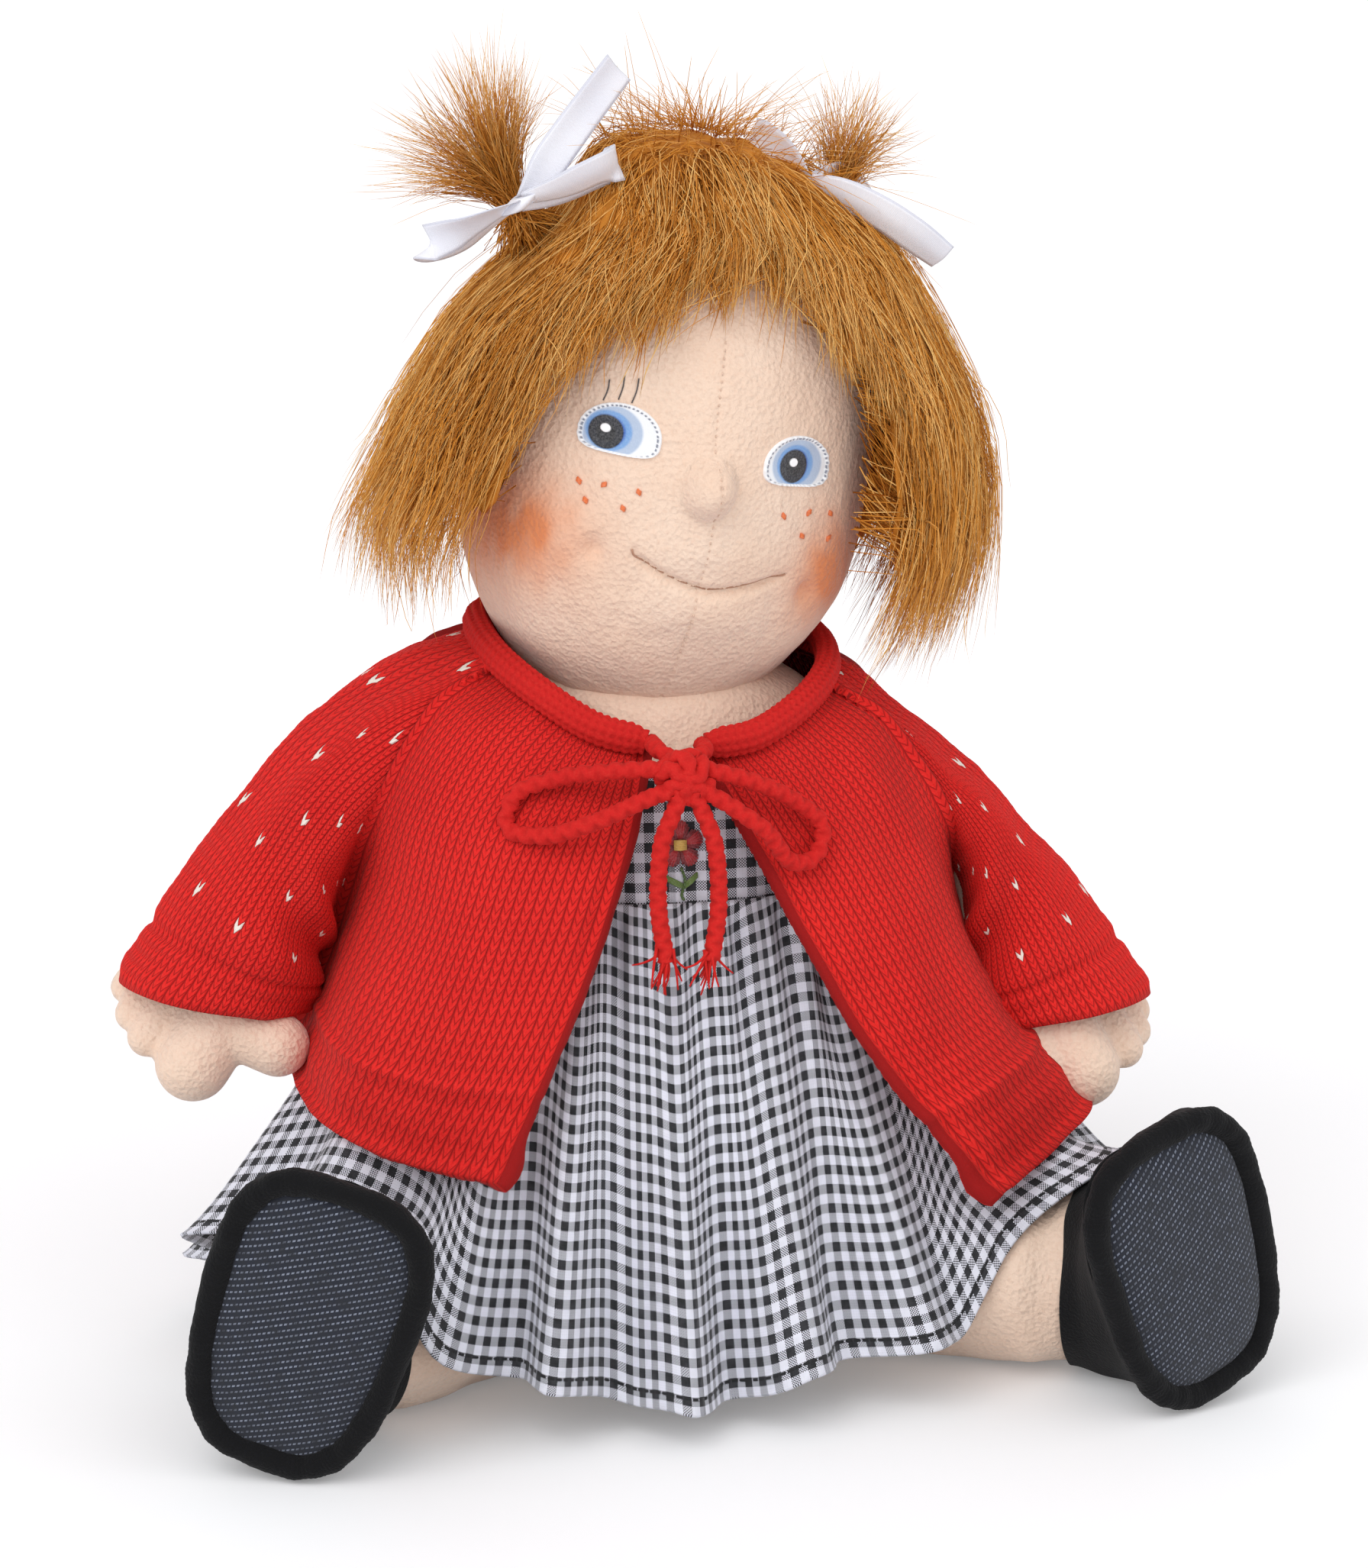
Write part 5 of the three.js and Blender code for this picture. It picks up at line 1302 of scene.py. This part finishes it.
def make_skirt():
    halves = []
    for name, side in SIDES.items():
        angle = np.linspace(0, math.pi, SKIRT_COLUMNS)[None, :] * side
        t = np.linspace(0, 1, SKIRT_ROWS)[:, None]
        grid = skirt_surface(angle + 0 * t, t + 0 * angle)
        drop = np.cumsum(np.linalg.norm(np.diff(grid, axis=0, prepend=grid[:1]), axis=2), axis=0)
        around = run_along(grid[-1])[None, :]
        uv = stacked(around * side, drop[-1:] - drop)
        piece = cloth("skirt_" + name, grid, SKIRT_THICK, GINGHAM, None, uv=uv, step=2)
        way = np.array([side * math.sin(SPLAY[side]), -math.cos(SPLAY[side]), 0])
        start, end = (row(way * reach + [0, 0, LAP_LEVEL]) for reach in (FOLLOWS_FROM, FOLLOWS_AT))
        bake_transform(piece)
        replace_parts(piece, "dress_skirt")
        halves.append(piece)
    return halves


def make_bodice():
    angle = circle(240)[None, :]
    height = np.linspace(NECKLINE, WAIST - 1.5, 40)[:, None]
    wide, deep = torso_at(height)
    out = 2.0 + 0.4 * smooth(150, 136, height) * np.cos(40 * angle) - 0.8 * smooth(167, 170, height)
    grid = stacked((wide + out) * np.sin(angle), -(deep + out) * np.cos(angle), height)[:, ::-1]
    uv = stacked(angle[:, ::-1] * 62, height + 100)
    piece = cloth("bodice_cloth", grid, BODICE_THICK, GINGHAM, "torso", uv=uv, wrap=True)
    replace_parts(piece, "dress_bodice")


def make_flower():
    """Five stitched petals, a yellow middle and a stem with two leaves, sewn on the chest."""
    threads = []
    def on_chest(x, z, lift):
        wide, deep = torso_at(z)
        return np.array([x, -(deep + 2.0) * math.sqrt(max(0, 1 - (x / wide) ** 2)) - lift, z])
    def sew(a, b, lift, radius, colour):
        middle = lerp(np.array(a), np.array(b), 0.5)
        path = np.stack([on_chest(*a, lift), on_chest(*middle, lift + 0.3), on_chest(*b, lift)])
        threads.append((path, np.array([radius * 0.7, radius, radius * 0.7]), colour))
    for petal in range(5):
        aim = math.radians(90 + 72 * petal)
        for k in np.linspace(-0.5, 0.5, 9):
            way = np.array([math.cos(aim + k), math.sin(aim + k)])
            red = srgb(170, 24, 34) if abs(k) < 0.35 else srgb(120, 12, 24)
            sew(FLOWER + 1.4 * way, FLOWER + (6.4 - 5 * k * k) * way, 0.4, 0.5, red)
    for k in np.linspace(-1, 1, 5):
        sew(FLOWER + [-1.7, k], FLOWER + [1.7, k], 0.9, 0.5, srgb(226, 186, 92))
    stem = route([(1.6, 143), (2.6, 139.5), (1.5, 136), (2.2, 134.5)], 10)
    for a, b in zip(stem[:-1], stem[1:]):
        sew(a, b, 0.4, 0.5, srgb(74, 104, 40))
    for tip in ((6.0, 141.0), (-2.6, 140.5)):
        for k in (-0.5, 0, 0.5):
            sew((2.2, 138 + k), (tip[0], tip[1] + k), 0.4, 0.45, srgb(96, 124, 50))
    piece = sewn("flower_stitches", threads, FLOWER_THREAD, "torso")
    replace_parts(piece, "dress_flower")


skirt_halves = make_skirt()
make_bodice()
make_flower()


# Cardigan: knitted panels, sleeves and a rolled collar

# A stitch's size, and the columns and rows of the mesh in one
STITCH_WIDE, STITCH_TALL = 3.0, 2.3
STITCH_COLUMNS, STITCH_ROWS = 6, 4
KNIT_DEPTH, KNIT_THICK, EDGE_ROLL = 0.45, 2.2, 1.5
HEM_BAND, CUFF_BAND = 15.0, 13.0
SLEEVE_STITCHES = (64, 46)
# The flat cuts in metres, and their areas once the slopes are taken off
FRONT_CUT, REAR_CUT, SLEEVE_CUT = ((0.12, 0.15), 0.016), ((0.26, 0.15), 0.034), ((0.19, 0.14), 0.026)


def stitch_relief(rows, columns):
    """Height of the V-shaped stitches on a fine grid, from 0 in the hollows to 1 on the yarn."""
    u = (np.arange(columns) / STITCH_COLUMNS)[None, :]
    v = (np.arange(rows) / STITCH_ROWS)[:, None]
    inside = pingpong(u, 0.5)
    across = np.minimum(LEG_RISE * inside, LEG_TOP - LEG_DIP * inside)
    along = ROW_RISE * pingpong(v - STITCH_SLANT * inside, 0.5) + ROW_FLOOR
    return np.clip(np.minimum(across, along), 0, 1)


def knit_piece(name, shape, body, stitches, stitch_rows, band, wrap=False, flecks=False, seam=(False, False),
               edges=(False, False)):
    """A knitted sheet: rows from its top edge to its banded hem, columns from one side to the other."""
    columns = stitches * STITCH_COLUMNS + (0 if wrap else 1)
    rows = stitch_rows * STITCH_ROWS + 1
    grid = shape(rows, columns)
    if wrap and not faces_out(grid, wrap):
        grid = grid[:, ::-1]
    away = normals(grid, wrap)
    down = np.linspace(1, 0, rows)[:, None] * stitch_rows * STITCH_TALL
    across = np.linspace(0, 1, columns)[None, :] * stitches * STITCH_WIDE
    back = across[:, ::-1]
    relief = stitch_relief(rows, columns) * smooth(0, 2, down)
    if not wrap:
        relief = relief * smooth(0, 2, across) * smooth(0, 2, back)
    soft = 0.6 * ripple(grid, 26, 31) + 0.15 * ripple(grid, 9, 32)
    out = KNIT_DEPTH * relief + soft
    roll = EDGE_ROLL * ridge(down, 3.0, 3.2)
    out = out + roll - 0.9 * ridge(down, band, 1.4) + 0.6 * smooth(band, band - 4, down)
    thick = np.full((rows, columns), KNIT_THICK) + 1.8 * roll
    for edge, gap in zip(edges, (across, back)):
        if edge:
            roll = EDGE_ROLL * ridge(gap, 2.2, 2.4)
            out = out + roll
            thick = thick + 1.6 * roll
    for edge, gap in zip(seam, (across, back)):
        if edge:
            out = out - 1.4 * ridge(gap, 0, 1.8) + 0.7 * ridge(gap, 4, 2)
    fleck = np.full((rows, columns), 1.0 if flecks else 0.0) * (down > band)
    grid = grid + away * out[..., None]
    uv = stacked(np.arange(columns)[None, :] / STITCH_COLUMNS, np.arange(rows)[:, None] / STITCH_ROWS)
    # Painted shade in the hollows between the stitches
    piece = cloth(name, grid, thick, KNIT, body, uv=uv, wrap=wrap, step=2, hollow=1 - relief, fleck=fleck)
    return piece


# Control points of the panels in rows from the collar down: fronts from their edge, the back from a side
FRONT_RIGHT = [
    [(-8, -47, 177), (-22, -44, 181), (-36, -33, 189), (-44, -18, 195)],
    [(-11, -56, 167), (-32, -53, 170), (-52, -42, 177), (-63, -26, 184)],
    [(-15, -63, 154), (-42, -60, 154), (-64, -45, 156), (-78, -26, 158)],
    [(-24, -70, 129), (-52, -67, 130), (-72, -48, 131), (-84, -4, 133)],
    [(-36, -77, 103), (-63, -72, 104), (-86, -50, 106), (-91, 2, 108)],
    [(-53, -87, 71), (-80, -72, 74), (-99, -44, 78), (-103, 2, 83)],
]
FRONT_LEFT = [
    [(8, -47, 177), (22, -44, 181), (36, -33, 189), (44, -18, 195)],
    [(14, -57, 167), (34, -53, 170), (52, -42, 177), (63, -26, 184)],
    [(24, -63, 150), (46, -59, 153), (65, -45, 156), (78, -26, 158)],
    [(37, -70, 124), (58, -65, 128), (75, -47, 131), (84, -4, 131)],
    [(54, -76, 94), (74, -68, 98), (89, -46, 101), (90, 2, 105)],
    [(84, -81, 59), (103, -63, 66), (117, -40, 73), (103, 1, 79)],
]
BACK_HALF = [
    [(44, 18, 196), (24, 38, 199), (0, 43, 200)],
    [(63, 28, 186), (36, 48, 188), (0, 56, 189)],
    [(78, 30, 160), (46, 56, 162), (0, 64, 163)],
    [(84.5, 8, 132), (52, 60, 134), (0, 69, 134)],
    [(90.5, 1, 107), (58, 68, 108), (0, 78, 108)],
    [(103.5, 0, 80), (66, 80, 74), (0, 92, 70)],
]
SHOULDERS = {1: np.array([82.0, 6, 148]), -1: np.array([-86.0, 6, 158])}
ARM_TILT = {1: 25, -1: 32}
ARM_FORWARD = {1: 25, -1: 10}
LEFT_SAG = 10.0
COLLAR_HALF = [(-8, -49, 178.5), (-22, -46, 182.5), (-36, -35, 190.5), (-45, -19, 196.5), (-47.5, 0, 199.5),
               (-44, 18, 200), (-24, 38, 201.5), (0, 44, 202)]
CUFF_AT = 69.0
CUFF_RADIUS = 25.0
CUFF_LEVEL = 0.65
SLEEVE_FALL = {1: -0.6, -1: -0.12}
SLEEVE_PUFF = {1: 32, -1: 46}
SLEEVE_BEND, SLEEVE_FOLDS, SLEEVE_FOLD_DEPTH = 34.0, 17, 2.2


def settled(points):
    """Points of the cardigan, lower towards its left shoulder, to which the doll leans."""
    points = np.array(points, float)
    points[..., 2] -= LEFT_SAG * smooth(-10, 70, points[..., 0]) * smooth(95, 165, points[..., 2])
    return points


def from_arm(points, side):
    """Points of an arm's own frame, hanging along -Z from the shoulder, in the doll's."""
    matrix = turn("x", -ARM_FORWARD[side]) @ turn("y", -side * ARM_TILT[side])
    return SHOULDERS[side] + np.asarray(points, float) @ matrix.T


def raglan_loop(side, count):
    """The seam round the sleeve's top: down the front panel's edge, under the arm and up the back panel's."""
    front = np.array(FRONT_LEFT if side > 0 else FRONT_RIGHT, float)[:4, -1]
    back = np.array(BACK_HALF, float)[:4, 0] * np.array([side, 1, 1])
    armpit = np.array([side * 84.5, 2, 127])
    collar = np.array([side * 47.0, 0, 198])
    loop = [collar, *front, armpit, *back[::-1], collar]
    return route(settled(loop), count + 1)[:-1]


def sleeve_shape(side):
    """Columns of a sleeve, each a curve from the raglan seam to the cuff; the first is over the shoulder."""
    def shape(rows, columns):
        loop = raglan_loop(side, columns)
        way = unit(from_arm([0, 0, -1], side) - from_arm([0, 0, 0], side))
        facing = unit(lerp(way, np.array([0, 0, -1.0]), CUFF_LEVEL))
        outer = unit(np.array([side, 0, 0]) - facing * facing[0] * side)
        ahead = unit(np.array([0, -1.0, 0]) + facing * facing[1])
        angle = circle(columns)
        ring = outer * np.cos(angle)[:, None] + ahead * np.sin(angle)[:, None]
        cuff = from_arm([0, 0, -CUFF_AT], side) + CUFF_RADIUS * ring
        top = ((1 + np.cos(angle)) / 2)[:, None]
        over = np.array([side, 0, SLEEVE_FALL[side]])
        leave = loop + unit(lerp(way, over, top)) * lerp(16, SLEEVE_PUFF[side], top)
        arrive = cuff - way * lerp(26, 48, top)
        down = np.linspace(0, 1, rows)[:, None]
        s = down[..., None]
        grid = (1 - s) ** 3 * loop + 3 * (1 - s) ** 2 * s * leave + 3 * (1 - s) * s**2 * arrive + s**3 * cuff
        inner = (ring @ np.array([-side, -0.7, 0])).clip(0, 1)
        fold = np.sin(SLEEVE_FOLDS * down + 1.3 * np.sin(angle + 1)[None, :]) * smooth(0.25, 0.55, down)
        depth = SLEEVE_FOLD_DEPTH * fold * (0.3 + 0.7 * inner)[None, :]
        return grid + ring[None] * depth[..., None]
    return shape


def panel_shape(control, mirrored=False):
    """A panel's surface through its control points, with its columns turned about where it is mirrored."""
    def shape(rows, columns):
        grid = loft(control, rows, columns)
        return grid[:, ::-1] if mirrored else grid
    return shape


def make_cardigan():
    whole_back = [list(line) + [(-x, y, z) for x, y, z in line[-2::-1]] for line in BACK_HALF]
    panels = (
        ("left", "front_left", panel_shape(settled(FRONT_LEFT)), (26, 54), FRONT_CUT,
         {"seam": (False, True), "edges": (True, False)}),
        ("right", "front_right", panel_shape(FRONT_RIGHT, mirrored=True), (30, 50), FRONT_CUT,
         {"seam": (True, False), "edges": (False, True)}),
        ("rear", "back", panel_shape(settled(whole_back)), (60, 54), REAR_CUT, {"seam": (True, True)}),
    )
    for name, node, shape, stitches, (flat, area), sides in panels:
        piece = knit_piece("cardigan_" + name, shape, "torso", *stitches, HEM_BAND, **sides)
        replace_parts(piece, "cardigan_" + node)
    flat, area = SLEEVE_CUT
    for name, side in SIDES.items():
        piece = knit_piece("sleeve_" + name, sleeve_shape(side), None, *SLEEVE_STITCHES, CUFF_BAND, wrap=True,
                           flecks=True)
        start = SHOULDERS[side] + [side * -6, 0, 2]
        end = SHOULDERS[side] + SLEEVE_BEND * np.array([side * 0.94, 0, -0.34])
        row(start)
        row(end)
        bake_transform(piece)
        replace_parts(piece, "cardigan_sleeve_" + name)


def make_collar():
    half = np.array(COLLAR_HALF, float)
    path = route(settled(np.concatenate([half, half[-2::-1] * np.array([-1, 1, 1])])), 620)
    run = np.linspace(0, length_of(path), 620)
    angle = circle(40)
    rib = np.abs(np.sin(angle * 5))[None, :]
    wave = np.abs(np.sin(run[:, None] * math.pi / STITCH_TALL + 1.2 * rib))
    relief = 0.55 * wave + 0.45 * rib
    taper = smooth(0, 5, run) * smooth(run[-1], run[-1] - 5, run)
    radius = (2.7 + 0.9 * relief) * lerp(0.75, 1.0, taper)[:, None]
    rings = rings_along(path, radius, 40, flat=1.3)
    points, faces = capped(rings)
    # Painted shade in the hollows between the collar's ribs and rows
    hollow = np.append((1 - relief).ravel(), [0.5, 0.5])
    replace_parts(yarn_piece("collar_roll", points, faces, hollow), "cardigan_collar")


make_cardigan()
make_collar()


# Arms and hands

# Pins of an arm and hand: from, to, and the radius at each end; x counts outwards from the body
HAND = [
    ((0, 0, -8), (0, 0, -40), 6.5, 14.5),
    ((0, 0, -40), (0, 0, -60), 15.0, 13.5),
    ((0, 0, -58), (2, 1, -66), 13.5, 13.0),
    ((7, 6, -62), (9, 7, -76), 8.0, 7.0),
    ((-5, -6, -68), (-5, -8, -87), 11.5, 10.5),
    ((7.5, -3, -66), (9, -4, -87), 6.2, 5.8),
    ((13, 1, -66), (15, 1, -84), 5.8, 5.2),
    ((17, 6, -64), (19.5, 7, -79), 5.4, 4.8),
]
THUMBS = {1: ((-10, -6, -66), (-15, -9, -80), 10.0, 9.0), -1: ((-9, -8, -72), (-22, -12, -71), 9.6, 8.8)}
ARM_GRAIN = 1.0


def capsule(a, b, ra, rb):
    """Rings of a round-ended pin between two points."""
    a, b = np.asarray(a, float), np.asarray(b, float)
    way = (b - a) / np.linalg.norm(b - a)
    path, radius = [], []
    for end, most, span in ((a, ra, (-1, 0)), (b, rb, (0, 1))):
        for t in np.linspace(*span, 8):
            path.append(end + way * most * math.sin(t * math.pi / 2 * 0.98))
            radius.append(most * math.cos(t * math.pi / 2 * 0.98))
    return rings_along(np.array(path), np.array(radius), 24)


def make_arm(name, side):
    """An arm and hand: round-ended pins melted into one skin."""
    flip = np.array([side, 1, 1])
    pins = [capsule(np.array(a) * flip, np.array(b) * flip, ra, rb) for a, b, ra, rb in HAND + [THUMBS[side]]]
    points, faces = joined(pins)
    rough = make("arm_rough_" + name, from_arm(points, side), faces, FLEECE)
    source = rough.data.copy()
    bpy.data.objects.remove(rough)
    steps = [("REMESH", {"mode": "VOXEL", "voxel_size": ARM_GRAIN * MM}),
             ("SMOOTH", {"factor": 0.5, "iterations": 3})]
    piece = shaped("arm_soft_" + name, source, steps, FLEECE, "arm_" + name)
    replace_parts(piece, "arm_cover_" + name, "arm_stuffing_" + name)


for side_name, side_sign in SIDES.items():
    make_arm(side_name, side_sign)


# Legs and shoes

LEG_LENGTH, ANKLE, SHOE_DEPTH = 108.0, 25.0, 46.0
# Room under the sole for its binding, depth of the pad, and radius of the binding's roll
BINDING, SOLE_PAD, EDGE = 5.0, 4.0, 3.5
BINDING_WIDE, BINDING_LONG = 26.0, 39.0
LEAN = 18.0
FOOT_TURN = {1: 40, -1: 36}
LEAN_ANGLE = math.radians(LEAN)
SOLE_RISE = math.hypot(BINDING_LONG * math.cos(LEAN_ANGLE), BINDING_WIDE * math.sin(LEAN_ANGLE))
FOOT_RISE = SOLE_RISE + BINDING - HIP_Z
# Ovals of a leg from its rounded top to the ankle: place along it, lift, half width, half height, and share
# of the foot's form and turn
LEG_FORM = [(-27, 0, 7, 7, 0), (-24, 0, 14, 14, 0), (-19.5, 0, 20, 20, 0), (-9.8, 0, 26.2, 26.2, 0),
            (0, 0, 27.9, 27.9, 0), (24, 0, 29, 28.4, 0), (48, 0, 29.4, 28.2, 0), (58, 0, 27, 26.4, 0)]
# The sole's pad: rise from its back, and share by which its outline shrinks
PAD_LEVELS = [(0, 0.0), (1.2, 0.0), (3.0, 0.0), (4.6, 0.08), (6.0, 0.25), (6.8, 0.5), (7.1, 0.75),
              (7.2, 0.93)]
SHOE_THICK, BINDING_POINTS = 2.0, 520


def from_leg(points, side):
    """Points of a leg's own frame, lying along -Y from the hip, in the doll's."""
    hip = np.array([side * HIP_SPREAD[side], -HIP_FORWARD, HIP_Z])
    return hip + np.asarray(points, float) @ turn("z", side * math.degrees(SPLAY[side])).T


def leg_oval(side, along, lift, wide, tall, share, columns=96):
    """A ring of the leg or foot in the leg's frame, turned in at the ankle by a share of the foot's turn."""
    angle = circle(columns)
    # A foot is squarer than a leg, and wider at its toe, which points up, than at its heel
    square = 2 / lerp(2.0, 3.1, share)
    c, s = (np.sign(f(angle)) * np.abs(f(angle)) ** square for f in (np.cos, np.sin))
    ring = np.stack([wide * c * (1 + 0.1 * share * s), 0 * c, tall * s], 1) @ turn("y", -side * LEAN).T
    ring = ring + np.array([0, -along, lift])
    ankle = np.array([0, SHOE_DEPTH - LEG_LENGTH, 0])
    return (ring - ankle) @ turn("z", -side * share * FOOT_TURN[side]).T + ankle


def foot_form(out):
    """Ovals from the ankle to the sole, as a leg's are given, set out by a thickness."""
    sole = LEG_LENGTH - SOLE_PAD - 0.4
    ankle = LEG_LENGTH - SHOE_DEPTH
    wide, long = BINDING_WIDE - 2.4, BINDING_LONG - 2.4
    instep_wide, instep_long = lerp(ANKLE, wide, 0.4), lerp(ANKLE, long, 0.35)
    return [
        (ankle, 0, ANKLE + out, ANKLE + out, 0),
        (lerp(ankle, sole, 0.35), 0.3 * FOOT_RISE, instep_wide + out, instep_long + out, 0.4),
        (lerp(ankle, sole, 0.72), 0.8 * FOOT_RISE, wide + out, lerp(ANKLE, long, 0.8) + out, 0.8),
        (sole, FOOT_RISE, wide + out, long + out, 1.0),
    ]


def leg_skin(side, form, rows, unevenness, lowest):
    """A smooth skin over ovals of a leg, uneven by an amount, a size and a seed, and kept off the floor."""
    rings = np.array([leg_oval(side, *oval) for oval in form])
    grid = from_leg(curve_at(rings, np.linspace(0, len(rings) - 1, rows)), side)
    amount, size, seed = unevenness
    grid = grid - amount * ripple(grid, size, seed)[..., None] * normals(grid, True)
    grid[..., 2] = np.maximum(grid[..., 2], lowest)
    return grid


def make_leg(name, side):
    points, faces = capped(leg_skin(side, LEG_FORM + foot_form(0)[1:], 120, (0.6, 20, 51), 0.9))
    piece = make("leg_soft_" + name, points, faces, FLEECE, "leg_" + name)
    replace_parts(piece, "leg_cover_" + name, "leg_stuffing_" + name)


def make_shoe(name, side):
    """A felt upper, a padded denim sole and the binding round it."""
    grid = leg_skin(side, foot_form(3.4), 70, (0.5, 16, 52), 0.5)[:, ::-1]
    upper = cloth("shoe_felt_" + name, grid, SHOE_THICK, FELT, "leg_" + name, wrap=True)
    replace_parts(upper, "shoe_upper_" + name)
    back = LEG_LENGTH - SOLE_PAD
    wide, long = BINDING_WIDE - 3.0, BINDING_LONG - 3.0
    pad = [leg_oval(side, back + rise, FOOT_RISE, wide * (1 - shrink), long * (1 - shrink), 1.0)
           for rise, shrink in PAD_LEVELS]
    points, faces = capped(curve_at(np.array(pad), np.linspace(0, len(pad) - 1, 40)))
    plane = turn("z", -side * FOOT_TURN[side]) @ turn("y", -side * LEAN)
    flat = (points @ plane)[:, [0, 2]]
    sole = make("shoe_denim_" + name, from_leg(points, side), faces, DENIM, "leg_" + name, uv=flat)
    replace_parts(sole, "shoe_sole_" + name)
    line = leg_oval(side, back + EDGE - 0.5, FOOT_RISE, BINDING_WIDE - 0.8, BINDING_LONG - 0.8, 1.0,
                    BINDING_POINTS)
    around, angle = circle(BINDING_POINTS)[:, None], circle(20)[None, :]
    uneven = 0.05 * np.sin(around * 130 + 1.5 * np.sin(angle) + 3 * np.sin(7 * around))
    uneven = uneven + 0.2 * np.sin(around * 11 + angle * 2) + 0.12 * np.sin(around * 27)
    rings = rings_along(from_leg(line, side), EDGE + uneven, 20, closed=True, up=(0.3, 0.2, 1))
    rings[..., 2] = np.maximum(rings[..., 2], 0.1)
    points, faces = capped(rings, wrap_rows=True)
    bound = make("shoe_edge_" + name, points, faces, FELT, "leg_" + name)
    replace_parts(bound, "shoe_binding_" + name)


for side_name, side_sign in SIDES.items():
    make_leg(side_name, side_sign)
    make_shoe(side_name, side_sign)
